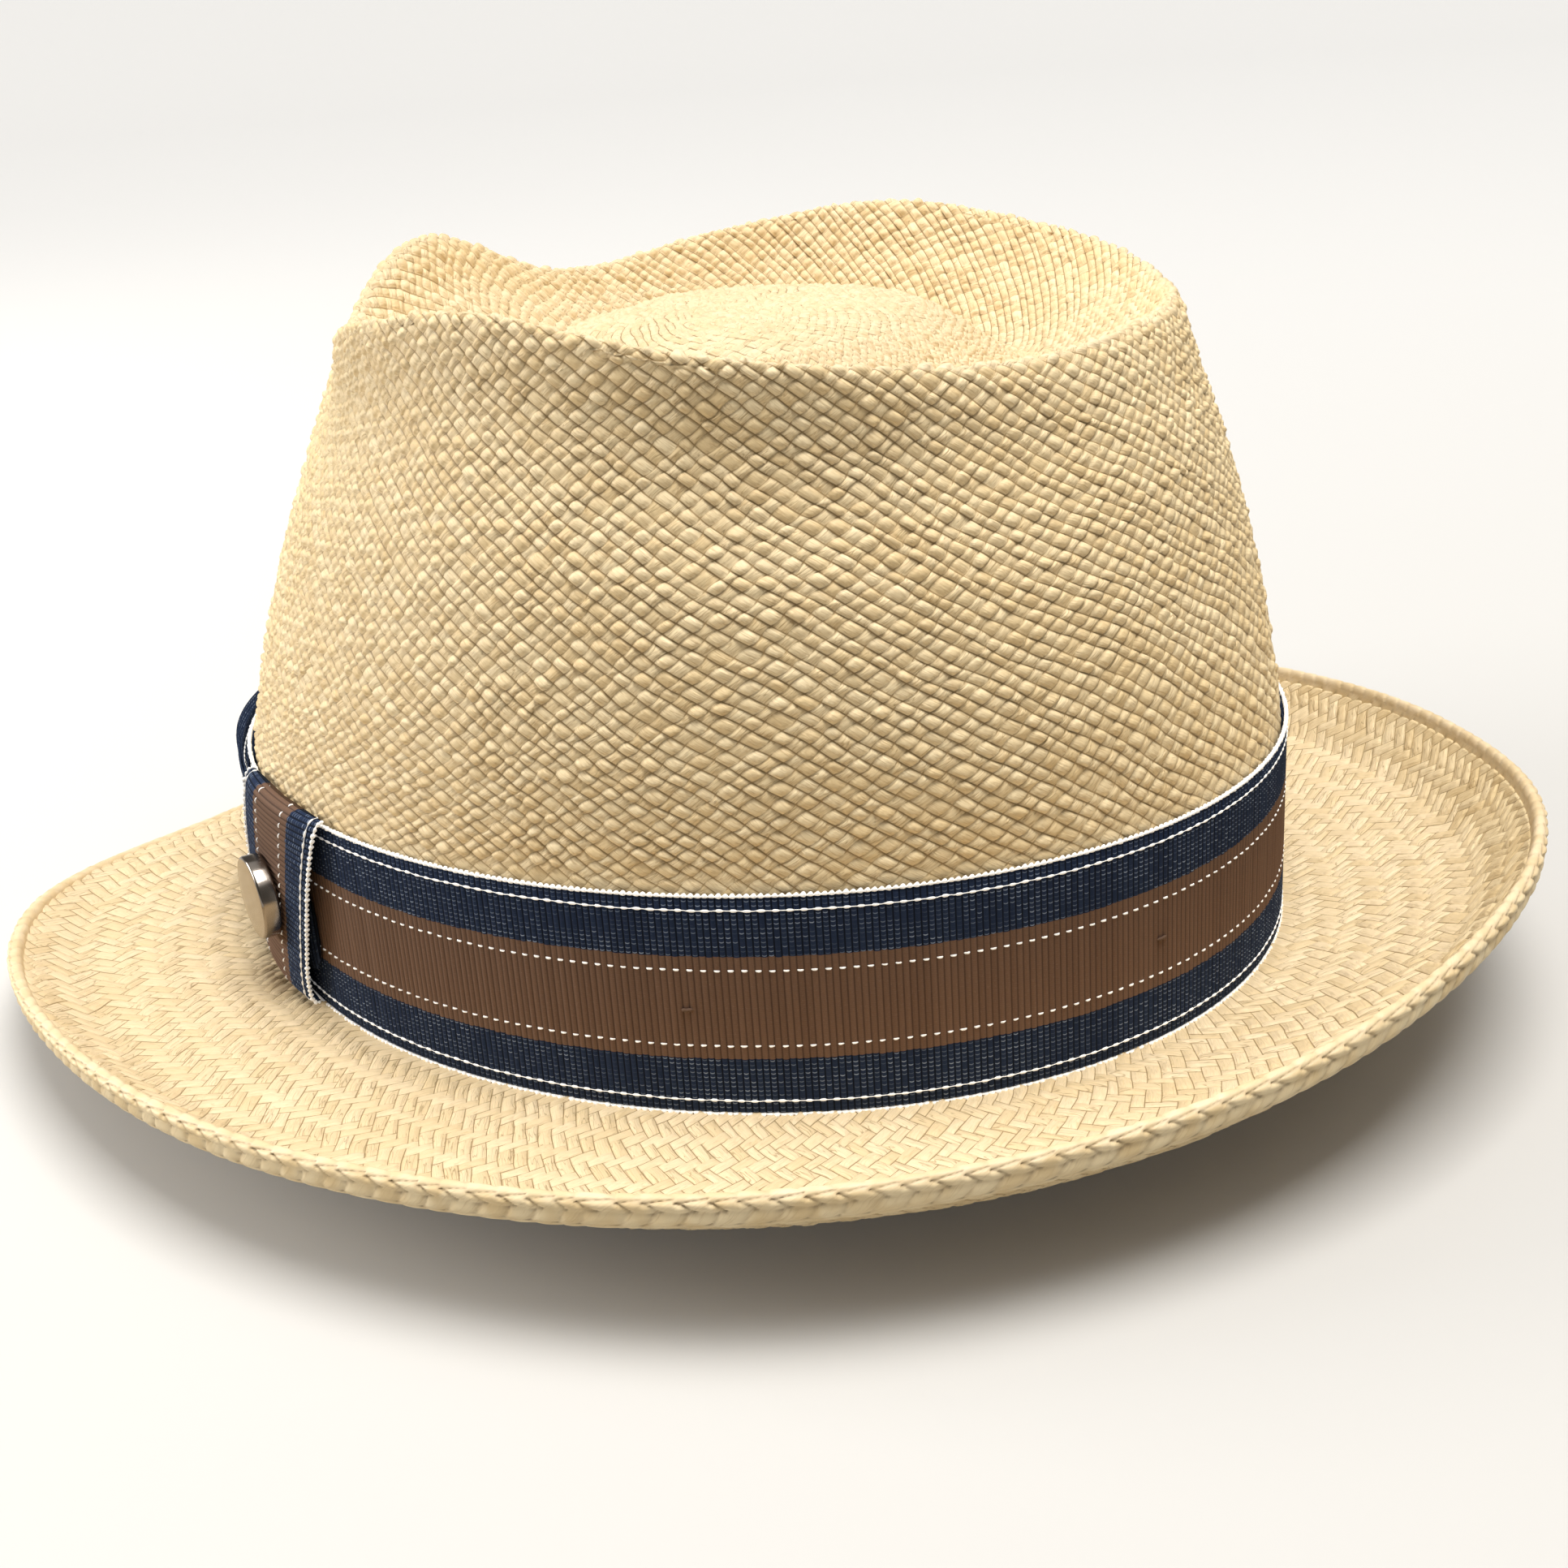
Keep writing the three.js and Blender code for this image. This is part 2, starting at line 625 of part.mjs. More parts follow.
// ---------------------------------------------------------------- pin
const BUTTON_R = 7.75;
const BUTTON_BACK = 4.85; // out, as are the other faces below
const BUTTON_FACE = BUTTON_BACK + 3.2;
const BUTTON_BEVEL = 0.35;
const POST_R = 0.6;
const CLUTCH_BORE_R = 0.68;
const CLUTCH_R = 3.0;
const CLUTCH_IN = 1.6;
const CLUTCH_OUT = CLUTCH_IN + 1.6;
const CLUTCH_BEVEL = 0.4;

// Thick round disc with bevelled edges.
const pinButton = () =>
  turned(
    [
      [0, BUTTON_BACK],
      [BUTTON_R - BUTTON_BEVEL, BUTTON_BACK],
      [BUTTON_R, BUTTON_BACK + BUTTON_BEVEL],
      [BUTTON_R, BUTTON_FACE - BUTTON_BEVEL],
      [BUTTON_R - BUTTON_BEVEL, BUTTON_FACE],
      [BUTTON_R - 1.1, BUTTON_FACE],
      [0, BUTTON_FACE],
    ],
    24,
  );

// Post with a narrowed inner tip, ending just short of the button's back.
function pinPost() {
  const tip = CLUTCH_IN + 0.1;
  const end = BUTTON_BACK - 0.02;
  return turned([[0, tip], [POST_R * 0.4, tip], [POST_R, tip + 0.6], [POST_R, end], [0, end]], 12);
}

// Round catch on the post, behind the knot.
const pinClutch = () =>
  turned(
    [
      [CLUTCH_BORE_R, CLUTCH_IN],
      [CLUTCH_R - CLUTCH_BEVEL, CLUTCH_IN],
      [CLUTCH_R, CLUTCH_IN + CLUTCH_BEVEL],
      [CLUTCH_R, CLUTCH_OUT - CLUTCH_BEVEL],
      [CLUTCH_R - CLUTCH_BEVEL, CLUTCH_OUT],
      [CLUTCH_BORE_R, CLUTCH_OUT],
      [CLUTCH_BORE_R, CLUTCH_IN],
    ],
    24,
  );

// ---------------------------------------------------------------- materials
const material = (settings) => new THREE.MeshStandardMaterial(settings);
const straw = material({ color: 0xd9bd86, roughness: 0.7, side: THREE.DoubleSide });
const navy = material({ color: 0x232d3c, roughness: 0.9 });
const brown = material({ color: 0x5e4433, roughness: 0.9 });
const leather = material({ color: 0x8a5a35, roughness: 0.55 });
const thread = material({ color: 0xe9e2d2, roughness: 0.8 });
const brownThread = material({ color: 0x4b3527, roughness: 0.8 });
const reed = material({ color: 0xd8d2c4, roughness: 0.4 });
const cloth = material({ color: 0xf1eee6, roughness: 0.9 });
const gunmetal = material({ color: 0x75675a, roughness: 0.25, metalness: 1.0 });
const steel = material({ color: 0xb9b9b9, roughness: 0.3, metalness: 1.0 });
const brass = material({ color: 0xb08a4a, roughness: 0.35, metalness: 1.0 });

// ---------------------------------------------------------------- assembly
const hat = new THREE.Group();
hat.position.set(...OPENING_CENTRE);
function add(name, geometry, surface, parent = hat) {
  const mesh = new THREE.Mesh(geometry, surface);
  mesh.name = name;
  parent.add(mesh);
}

add("straw_body", strawBody(), straw);
add("rim_braid", rimBraid(), straw);

add("sweatband", sweatband(), leather);
add("sweatband_reed", sweatbandReed(), reed);
add("sweatband_stitch", sweatbandStitch(), thread);
add("sweatband_bow_knot", smallBowKnot(), brown);
add("sweatband_bow_left", smallBowLoop(-SMALL_LOOP.far, -SMALL_LOOP.near), brown);
add("sweatband_bow_right", smallBowLoop(SMALL_LOOP.near, SMALL_LOOP.far), brown);
add("size_label", sizeLabel(), cloth);

add("hatband", hatband(), brown);
add("bow_loop", bowLoop(), navy);
add("bow_tail", bowTail(), navy);
add("bow_inner_fold", bowInnerFold(), navy);
add("bow_knot", bowKnot(), brown);

const pin = new THREE.Group();
hat.add(pin);
add("pin_button", pinButton(), gunmetal, pin);
add("pin_post", pinPost(), steel, pin);
add("pin_clutch", pinClutch(), brass, pin);

TACK_PHIS.forEach((phi, i) => add(`tack_stitch_${i + 1}`, tackStitch(phi), brownThread));

export default hat;
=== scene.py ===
"""A woven straw hat: creased oval crown, curled brim with a braided rim, a striped ribbon band
with a bow and a pin, and a leather sweatband inside.

Shapes are worked out in millimetres about the hat's own zero, the middle of the crown's foot;
build() shifts them by DATUM and scales them to metres. The front of the hat faces -Y, the
wearer's left is +X and up is +Z. Angles phi run from the front (0) towards the wearer's left
(90), in degrees. A point near the crown's wall is (phi, out, z), with out along the wall's
normal. A point on a strip is (s, w, out): along it, across it and out from its inner face.
"""
import math

import bpy
import numpy as np
from mathutils import Matrix, Vector


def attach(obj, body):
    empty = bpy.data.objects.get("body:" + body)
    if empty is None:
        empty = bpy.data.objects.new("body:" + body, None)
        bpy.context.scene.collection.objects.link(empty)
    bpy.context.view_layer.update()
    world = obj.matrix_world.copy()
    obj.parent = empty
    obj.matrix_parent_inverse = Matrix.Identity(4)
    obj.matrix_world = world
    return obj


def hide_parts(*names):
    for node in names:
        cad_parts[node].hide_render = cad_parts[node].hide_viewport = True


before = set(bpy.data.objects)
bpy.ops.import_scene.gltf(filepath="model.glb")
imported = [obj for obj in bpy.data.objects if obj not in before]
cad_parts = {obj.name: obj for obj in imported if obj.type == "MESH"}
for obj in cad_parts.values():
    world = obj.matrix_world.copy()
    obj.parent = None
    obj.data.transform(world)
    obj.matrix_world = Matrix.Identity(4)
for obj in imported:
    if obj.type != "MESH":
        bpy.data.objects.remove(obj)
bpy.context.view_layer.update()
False
MM = 0.001

# ------------------------------------------------------------------ driving sizes
DATUM = np.array([-0.1259, -0.9616, 10.2127])  # the hat's zero in the CAD frame
OVAL_FRONT, OVAL_SIDE = 101.5, 88.5  # half length and half width of the crown's foot
TAPER, BAND_TOP = 0.996, 38.0  # the straight wall narrows to TAPER at BAND_TOP
STRAW = 1.6  # thickness of the woven shell

# Values at even steps of phi. Seven run 0, 30 .. 180 and are mirrored; twelve go all the way
# round. "_R" is a radius, "_Z" a height.
RIDGE_R = [66.5, 67.5, 68.5, 71.5, 80.0, 80.4, 79.0]
RIDGE_Z = [125.0, 114.0, 118.8, 123.0, 117.0, 111.5, 111.3]
SHOULDER_R = [78.0, 72.2, 69.5, 73.5, 79.5, 84.0, 84.6]
BULGE = [5.0, 2.6, 1.4, 2.8, 3.3, 3.0, 1.0]
GROOVE_IN = [27.0, 22.0, 17.5, 18.0, 19.5, 20.5, 21.7]
GROOVE_Z = [98.0, 97.0, 97.0, 97.0, 96.5, 98.0, 97.2]
EDGE_Z = [-7.5, 4.6, 9.2, 12.6, 15.4, 18.6, 26.3, 19.5, 11.0, 6.9, 1.8, -3.3]
BRIM_W = [43.6, 50.8, 46.4, 45.3, 45.3, 42.5, 44.1]

SHOULDER_DROP = 11.9  # from ridge to shoulder
DOME_Z, DOME_EDGE_Z = 112.5, 111.0  # middle of the top, and its edge
DOME_SPAN = 0.58  # the dome's edge, as a share of the groove's radius
# Profile parameter at the stations: dome middle and edge, groove, its outer side, ridge,
# shoulder, two on the side, top of the straight wall.
STATIONS = np.array([0, 30, 55, 72, 86, 102, 138, 176, 214.0])
# Brim: power of its rise, then where the curl starts (share of the width), its share of the
# edge's height, its greatest height and its power.
BRIM_RISE, CURL_FROM, CURL_SHARE, CURL_MOST, CURL_POWER = 1.6, 0.74, 0.75, 8.0, 1.4
RIM_T, RIM_SLOT = 3.4, 1.9  # rim thickness and the slot the straw sits in
SHEET_SHORT = RIM_T - RIM_SLOT  # the straw sheet stops this far short of the brim's edge

KNOT_PHI, KNOT_Z = 52.5, 19.5  # middle of the bow's knot, and of the pin
KNOT_W, KNOT_LEAN = 33.0, 0.2  # knot width; lean in degrees for each mm of height
RIB = 1.08  # pitch of the ribbon's ribs
RIBBON_W, BAND_W, BAND_Z0 = 37.0, 37.9, 0.40
SWEAT_H, SWEAT_T, REED_R = 32.0, 1.0, 0.8


# ------------------------------------------------------------------ shape
def table(values):
    """A smooth periodic curve of phi through the tabled values."""
    stops = np.array(values, float)
    if len(stops) == 7:
        stops = np.concatenate([stops, stops[5:0:-1]])
    n = len(stops)

    def at(phi):
        u = (np.asarray(phi, float) % 360.0) / 360.0 * n
        k = np.floor(u).astype(int) % n
        f = u - np.floor(u)
        a, b, c, d = stops[(k - 1) % n], stops[k], stops[(k + 1) % n], stops[(k + 2) % n]
        square, cube = 2 * a - 5 * b + 4 * c - d, 3 * b - a - 3 * c + d
        return 0.5 * (2 * b + (c - a) * f + square * f * f + cube * f**3)

    return at


ridge_r, ridge_z, shoulder_r, bulge = map(table, (RIDGE_R, RIDGE_Z, SHOULDER_R, BULGE))
groove_in, groove_z, edge_z, brim_w = map(table, (GROOVE_IN, GROOVE_Z, EDGE_Z, BRIM_W))


def oval_r(phi):
    """Radius of the crown's foot."""
    turn = np.radians(phi)
    return OVAL_FRONT * OVAL_SIDE / np.hypot(OVAL_SIDE * np.cos(turn), OVAL_FRONT * np.sin(turn))


def oval_normal(phi):
    """x and y of the foot's outward unit normal."""
    turn = np.radians(phi)
    front, left = np.cos(turn) / OVAL_FRONT**2, np.sin(turn) / OVAL_SIDE**2
    length = np.hypot(front, left)
    return left / length, -front / length


def mm_per_degree(phi):
    return float(oval_r(phi)) * math.pi / 180


def on_wall(phi, out, z):
    """Points off the crown's straight wall. Arrays allowed; the last axis is x, y, z."""
    phi, out, z = np.broadcast_arrays(*(np.asarray(q, float) for q in (phi, out, z)))
    radius = oval_r(phi) * (1 - (1 - TAPER) * np.clip(z, 0, BAND_TOP) / BAND_TOP)
    nx, ny = oval_normal(phi)
    turn = np.radians(phi)
    return np.stack([radius * np.sin(turn) + nx * out, -radius * np.cos(turn) + ny * out, z], -1)


def crown_profile(phi, u):
    """(radius, height) for every phi (n,) and u (m,), as (n, m, 2): a cubic through STATIONS."""
    ridge, ridge_top = ridge_r(phi), ridge_z(phi)
    shoulder, shoulder_top = shoulder_r(phi), ridge_top - SHOULDER_DROP
    foot, swell = oval_r(phi) * TAPER, bulge(phi)
    groove, groove_bed = ridge - groove_in(phi), groove_z(phi)
    one = np.ones_like(phi)

    def side(share):
        """A point between the wall's top (0) and the shoulder (1), bowed outwards."""
        bow = swell * 4 * share * (1 - share)
        return [foot + (shoulder - foot) * share + bow, BAND_TOP + (shoulder_top - BAND_TOP) * share]

    stations = np.array([
        [0 * one, DOME_Z * one],
        [groove * DOME_SPAN, DOME_EDGE_Z * one],
        [groove, groove_bed],
        [groove * 0.3 + ridge * 0.7, groove_bed * 0.4 + ridge_top * 0.6],
        [ridge, ridge_top],
        [shoulder, shoulder_top],
        side(0.66),
        side(0.32),
        [foot, BAND_TOP * one],
    ])
    step = np.diff(STATIONS)[:, None, None]
    secant = np.diff(stations, axis=0) / step
    slope = np.zeros_like(stations)
    slope[0] = np.array([groove * DOME_SPAN / STATIONS[1], 0 * one])
    slope[-1] = secant[-1]
    before, after = step[:-1], step[1:]
    slope[1:-1] = (secant[:-1] * after + secant[1:] * before) / (before + after)
    k = np.clip(np.searchsorted(STATIONS, u, side="right") - 1, 0, len(STATIONS) - 2)
    h = step[k]
    s = (u - STATIONS[k])[:, None, None] / h
    points = (
        (2 * s**3 - 3 * s**2 + 1) * stations[k]
        + (s**3 - 2 * s**2 + s) * h * slope[k]
        + (3 * s**2 - 2 * s**3) * stations[k + 1]
        + (s**3 - s**2) * h * slope[k + 1]
    )
    return points.transpose(2, 0, 1)


def brim_z(phi, w):
    """Height of the brim; w runs from the crown's foot (0) to the brim's edge (1)."""
    edge = edge_z(phi)
    curl = np.minimum(CURL_SHARE * np.maximum(edge, 0), CURL_MOST)
    curled = (np.maximum(w - CURL_FROM, 0) / (1 - CURL_FROM)) ** CURL_POWER
    return (edge - curl) * np.maximum(w, 0) ** BRIM_RISE + curl * curled


def on_brim(phi, w):
    """Points on the brim, w as in brim_z."""
    reach = brim_w(phi) * w
    nx, ny = oval_normal(phi)
    radius, turn = oval_r(phi), np.radians(phi)
    x, y = radius * np.sin(turn) + nx * reach, -radius * np.cos(turn) + ny * reach
    return np.stack(np.broadcast_arrays(x, y, brim_z(phi, w)), -1)


class Sheet:
    """A smooth surface of (phi, v): v = 0 .. 1 is arc length along each line of constant phi."""

    def __init__(self, lines, nv, facing=1):
        # lines (nphi, m, 3), phi = 0 .. 360 exclusive, resampled by arc length
        n, m, _ = lines.shape
        steps = np.linalg.norm(np.diff(lines, axis=1), axis=2)
        lengths = np.concatenate([np.zeros((n, 1)), np.cumsum(steps, 1)], 1)
        self.mean_length = float(np.mean(lengths[:, -1]))
        v = np.linspace(0, 1, nv)
        points = np.empty((n, nv, 3))
        for i in range(n):
            share = lengths[i] / lengths[i, -1]
            for c in range(3):
                points[i, :, c] = np.interp(v, share, lines[i, :, c])
        round_hat = np.roll(points, -1, 0) - np.roll(points, 1, 0)
        normals = facing * np.cross(round_hat, np.gradient(points, axis=1))
        normals /= np.linalg.norm(normals, axis=2, keepdims=True) + 1e-12
        self.points = np.concatenate([points, points[:1]], 0)
        self.normals = np.concatenate([normals, normals[:1]], 0)
        self.n, self.nv = n, nv

    def at(self, phi, v):
        """Points and unit normals."""
        x = (np.asarray(phi, float) % 360.0) / 360.0 * self.n
        y = np.clip(v, 0, 1) * (self.nv - 1)
        i = np.minimum(np.floor(x).astype(int), self.n - 1)
        j = np.minimum(np.floor(y).astype(int), self.nv - 2)
        fx, fy = (x - i)[..., None], (y - j)[..., None]

        def sample(grid):
            return (
                (1 - fx) * (1 - fy) * grid[i, j]
                + fx * (1 - fy) * grid[i + 1, j]
                + (1 - fx) * fy * grid[i, j + 1]
                + fx * fy * grid[i + 1, j + 1]
            )

        normal = sample(self.normals)
        normal = normal / (np.linalg.norm(normal, axis=-1, keepdims=True) + 1e-12)
        return sample(self.points), normal


PHIS = np.arange(0, 360, 0.5)
CROWN_FROM_Z, WEAVE_FROM_Z = 24.0, 33.0  # where the crown's sheet and its weave start
FOOT_R = 1.5  # rounding between wall and brim


def crown_sheet():
    """From low on the straight wall (v = 0) over the ridge to the middle of the top (v = 1)."""
    profile = crown_profile(PHIS, np.linspace(STATIONS[-1], 0.0, 1071))
    turn = np.radians(PHIS)[:, None]
    radius, z = profile[..., 0], profile[..., 1]
    crown = np.stack([radius * np.sin(turn), -radius * np.cos(turn), z], -1)
    wall = on_wall(PHIS[:, None], 0.0, np.linspace(CROWN_FROM_Z, BAND_TOP, 15)[None, :-1])
    return Sheet(np.concatenate([wall, crown], 1), 900)


def brim_sheet():
    """From just above the foot of the crown (v = 0) to the edge of the straw sheet (v = 1)."""
    wall = on_wall(PHIS[:, None], 0.0, np.linspace(5.0, 1.6, 12)[None, :])
    bend = np.radians(np.linspace(0, 90, 10))[None, :]
    foot = on_wall(PHIS[:, None], FOOT_R * (1 - np.cos(bend)), 0.0)
    foot[..., 2] = FOOT_R * (1 - np.sin(bend))
    width = brim_w(PHIS)[:, None]
    start, end = 2.0 / width, (width - SHEET_SHORT) / width
    w = start + (end - start) * np.linspace(0, 1, 160)[None, :]
    return Sheet(np.concatenate([wall, foot, on_brim(PHIS[:, None], w)], 1), 520, facing=-1)


CROWN, BRIM = crown_sheet(), brim_sheet()


# ------------------------------------------------------------------ meshes
def hashed(*ints, seed):
    """Repeatable random numbers 0 .. 1 from arrays of whole numbers."""
    word = np.uint64(0xFFFFFFFF)
    h = np.full(np.broadcast(*ints).shape, 2166136261 ^ seed, np.uint64)
    for x in ints:
        low = (np.asarray(x).astype(np.int64) & 0xFFFFFFFF).astype(np.uint64)
        h = (h ^ low) * np.uint64(16777619) & word
        h = (h ^ (h >> np.uint64(15))) * np.uint64(2246822519) & word
        h = h ^ (h >> np.uint64(13))
    return h.astype(float) / 4294967296.0


def outward(points, faces, uvs=None):
    """Turns all the faces, and their UVs, if they enclose a negative volume."""
    uvs = uvs or {}
    volume = 0.0
    for group in faces:
        for k in range(1, group.shape[1] - 1):
            a, b, c = (points[group[:, corner]] for corner in (0, k, k + 1))
            volume += np.einsum("ij,ij->", a, np.cross(b, c))
    if volume < 0:
        faces = [group[:, ::-1] for group in faces]
        uvs = {key: [part[:, ::-1] for part in parts] for key, parts in uvs.items()}
    return faces, uvs


def add_floats(mesh, domain, values):
    for name, numbers in values.items():
        attribute = mesh.attributes.new(name, "FLOAT", domain)
        attribute.data.foreach_set("value", np.asarray(numbers, np.float32))


def build(name, mat, points, faces, uvs, face_floats=None, point_floats=None):
    """A smooth mesh object. faces is a list of (k, corners) arrays; uvs: name -> matching list."""
    mesh = bpy.data.meshes.new(name)
    co = (np.asarray(points, float) + DATUM) * MM
    loops = np.concatenate([group.ravel() for group in faces]).astype(np.int32)
    size = np.concatenate([np.full(len(group), group.shape[1], np.int32) for group in faces])
    start = np.concatenate([[0], np.cumsum(size)[:-1]]).astype(np.int32)
    mesh.vertices.add(len(co))
    mesh.vertices.foreach_set("co", co.astype(np.float32).ravel())
    mesh.loops.add(len(loops))
    mesh.loops.foreach_set("vertex_index", loops)
    mesh.polygons.add(len(size))
    mesh.polygons.foreach_set("loop_start", start)
    mesh.polygons.foreach_set("loop_total", size)
    mesh.update(calc_edges=True)
    for key, parts in uvs.items():
        flat = np.concatenate([part.ravel() for part in parts]).astype(np.float32)
        mesh.uv_layers.new(name=key).data.foreach_set("uv", flat)
    add_floats(mesh, "FACE", face_floats or {})
    add_floats(mesh, "POINT", point_floats or {})
    mesh.polygons.foreach_set("use_smooth", np.full(len(size), True, bool))
    mesh.validate(clean_customdata=False)
    ob = bpy.data.objects.new(name, mesh)
    bpy.context.scene.collection.objects.link(ob)
    mesh.materials.append(mat)
    return ob


def declare(ob, replaced, body="root"):
    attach(ob, body)
    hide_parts(replaced)


QUAD_CORNERS = ((0, 0), (1, 0), (1, 1), (0, 1))
# A small corner of the bake map, shared by all the cap triangles.
CAP_BAKE = np.array([[0.9995, 0.001], [0.9999, 0.001], [0.9997, 0.003]])


def uv_grid(s, w):
    return np.stack(np.broadcast_arrays(s[:, None], w[None, :]), -1)


def grid_mesh(name, points, mat, ring=False, uv=None, bake_rows=0):
    """A tube from closed sections (ns, nt, 3): joined into a ring, or capped at both ends.
    uv is (ns + ring, nt + 1, 2). bake_rows > 0 adds a map with the length folded into rows."""
    ns, nt, _ = points.shape
    cells = ns if ring else ns - 1
    if uv is None:
        uv = uv_grid(np.arange(ns + ring), np.arange(nt + 1))
    i, j = np.meshgrid(np.arange(cells), np.arange(nt), indexing="ij")
    quads = np.stack([(i + di) % ns * nt + (j + dj) % nt for di, dj in QUAD_CORNERS], -1)
    quad_uv = np.stack([uv[i + di, j + dj] for di, dj in QUAD_CORNERS], -2)
    tris, tri_uv, centres = [], [], []
    for row in () if ring else (0, ns - 1):
        centre = ns * nt + len(centres)
        centres.append(points[row].mean(0))
        middle = uv[row].mean(0)
        for k in range(nt):
            a, b = (k + 1, k) if row == 0 else (k, k + 1)
            tris.append((row * nt + a % nt, row * nt + b % nt, centre))
            tri_uv.append((uv[row, a], uv[row, b], middle))
    points = np.concatenate([points.reshape(-1, 3), np.array(centres, float).reshape(-1, 3)])
    tris = np.array(tris, int).reshape(-1, 3)
    tri_uv = np.array(tri_uv, float).reshape(-1, 3, 2)
    uvs = {"mm": [tri_uv, quad_uv.reshape(-1, 4, 2)]}
    if bake_rows:
        row = np.floor(i / cells * bake_rows + 1e-9)
        bake = []
        for di, dj in QUAD_CORNERS:
            x = np.clip((i + di) / cells * bake_rows - row, 0, 1.004)
            y = (row + 0.02 + 0.96 * (j + dj) / nt) / bake_rows
            bake.append(np.stack([0.002 + 0.99 * x, y], -1))
        uvs["OFBake"] = [np.stack(bake, -2).reshape(-1, 4, 2)]
    faces, uvs = outward(points, [tris, quads.reshape(-1, 4)], uvs)
    if bake_rows:
        uvs["OFBake"].insert(0, np.tile(CAP_BAKE, (len(tris), 1, 1)))
    return build(name, mat, points, faces, uvs)


# ------------------------------------------------------------------ materials
class Material:
    """A Principled material, with short calls that add nodes and return their outputs."""

    def __init__(self, name, rough, spec, metal=0.0):
        self.material = bpy.data.materials.new(name)
        self.material.use_nodes = True
        self.tree = self.material.node_tree
        self.shader = self.tree.nodes["Principled BSDF"]
        self.set("Roughness", rough)
        self.set("Metallic", metal)
        self.set("Specular IOR Level", spec)

    def node(self, kind):
        return self.tree.nodes.new("ShaderNode" + kind)

    def put(self, socket, value):
        if isinstance(value, bpy.types.NodeSocket):
            self.tree.links.new(value, socket)
        elif value is not None:
            socket.default_value = value

    def set(self, name, value):
        self.put(self.shader.inputs[name], value)

    def math(self, operation, a, b=None):
        n = self.node("Math")
        n.operation = operation
        self.put(n.inputs[0], a)
        self.put(n.inputs[1], b)
        return n.outputs[0]

    def add(self, a, b):
        return self.math("ADD", a, b)

    def sub(self, a, b):
        return self.math("SUBTRACT", a, b)

    def mul(self, a, by):
        return self.math("MULTIPLY", a, by)

    def div(self, a, by):
        return self.math("DIVIDE", a, by)

    def distance(self, x, centre):
        return self.math("ABSOLUTE", self.sub(x, centre))

    def ramp(self, x, start, full):
        """0 at start, 1 at full, smooth between; start may be the greater."""
        n = self.node("MapRange")
        n.interpolation_type = "SMOOTHSTEP"
        n.inputs["From Min"].default_value = min(start, full)
        n.inputs["From Max"].default_value = max(start, full)
        n.inputs["To Min"].default_value = 0 if start < full else 1
        n.inputs["To Max"].default_value = 1 if start < full else 0
        self.put(n.inputs["Value"], x)
        return n.outputs["Result"]

    def mix(self, factor, a, b):
        n = self.node("Mix")
        n.data_type = "RGBA"
        n.blend_type = "MIX"
        self.put(n.inputs[0], factor)
        first, second = [q for q in n.inputs if q.type == "RGBA"]
        self.put(first, a)
        self.put(second, b)
        return [q for q in n.outputs if q.type == "RGBA"][0]

    def blend(self, factor, a, b, strength):
        return self.mix(self.mul(factor, by=strength), a, b)

    def tint(self, colour, towards, x, start, full, strength):
        """Moves a colour towards another where x passes from start to full."""
        return self.blend(self.ramp(x, start, full), colour, towards, strength)

    def attr(self, name):
        n = self.node("Attribute")
        n.attribute_name = name
        return n.outputs["Fac"]

    def split(self, vector):
        n = self.node("SeparateXYZ")
        self.put(n.inputs[0], vector)
        return n.outputs[0], n.outputs[1]

    def uv(self, name):
        n = self.node("UVMap")
        n.uv_map = name
        return self.split(n.outputs[0])

    def vec(self, *parts):
        n = self.node("CombineXYZ")
        for socket, part in zip(n.inputs, parts):
            self.put(socket, part)
        return n.outputs[0]

    def place(self):
        return self.node("TexCoord").outputs["Object"]

    def noise(self, vector, scale, detail, rough):
        n = self.node("TexNoise")
        n.inputs["Scale"].default_value = scale
        n.inputs["Detail"].default_value = detail
        n.inputs["Roughness"].default_value = rough
        self.put(n.inputs["Vector"], vector)
        return n.outputs[0]

    def grain(self, x, y, z, x_scale, y_scale, detail, rough):
        """Noise stretched over two coordinates; z picks the pattern."""
        vector = self.vec(self.mul(x, by=x_scale), self.mul(y, by=y_scale), z)
        return self.noise(vector, 1.0, detail, rough)

    def random(self, cell, row, salt):
        n = self.node("TexWhiteNoise")
        self.put(n.inputs["Vector"], self.vec(cell, row, salt))
        return n.outputs[0]

    def base(self, colour):
        self.set("Base Color", colour)

    def vary_rough(self, x, least, spread):
        self.set("Roughness", self.add(least, self.mul(x, by=spread)))

    def bump(self, height, strength, distance):
        """distance is in metres."""
        n = self.node("Bump")
        n.inputs["Strength"].default_value = strength
        n.inputs["Distance"].default_value = distance
        self.put(n.inputs["Height"], height)
        self.set("Normal", n.outputs[0])


# Straw colours as (upright faces, faces turned up to the sky). The second set is painted light: a
# paler tint standing in for the sky and top lamp on faces turned up, with deeper painted shade in
# their creases.
STRAW_COLOURS = {
    "light": ((0.86, 0.70, 0.435, 1), (0.785, 0.627, 0.410, 1)),
    "mid": ((0.76, 0.575, 0.31, 1), (0.70, 0.537, 0.316, 1)),
    "deep": ((0.56, 0.38, 0.18, 1), (0.64, 0.49, 0.26, 1)),
    "warm": ((0.80, 0.60, 0.32, 1), (0.70, 0.537, 0.316, 1)),
    "crease": ((0.42, 0.27, 0.11, 1), (0.24, 0.155, 0.060, 1)),
}
# colour of the painted shade in the rim braid's seams and under its roll
RIM_CREASE = (0.20, 0.115, 0.055, 1)
NAVY, NAVY_2 = (0.0125, 0.0225, 0.0530, 1), (0.0190, 0.0330, 0.0730, 1)
FLECK, RIB_SHADOW = (0.26, 0.32, 0.43, 1), (0.002, 0.003, 0.006, 1)
BROWN, BROWN_2 = (0.127, 0.073, 0.049, 1), (0.157, 0.093, 0.064, 1)
BROWN_3 = (0.224, 0.149, 0.106, 1)


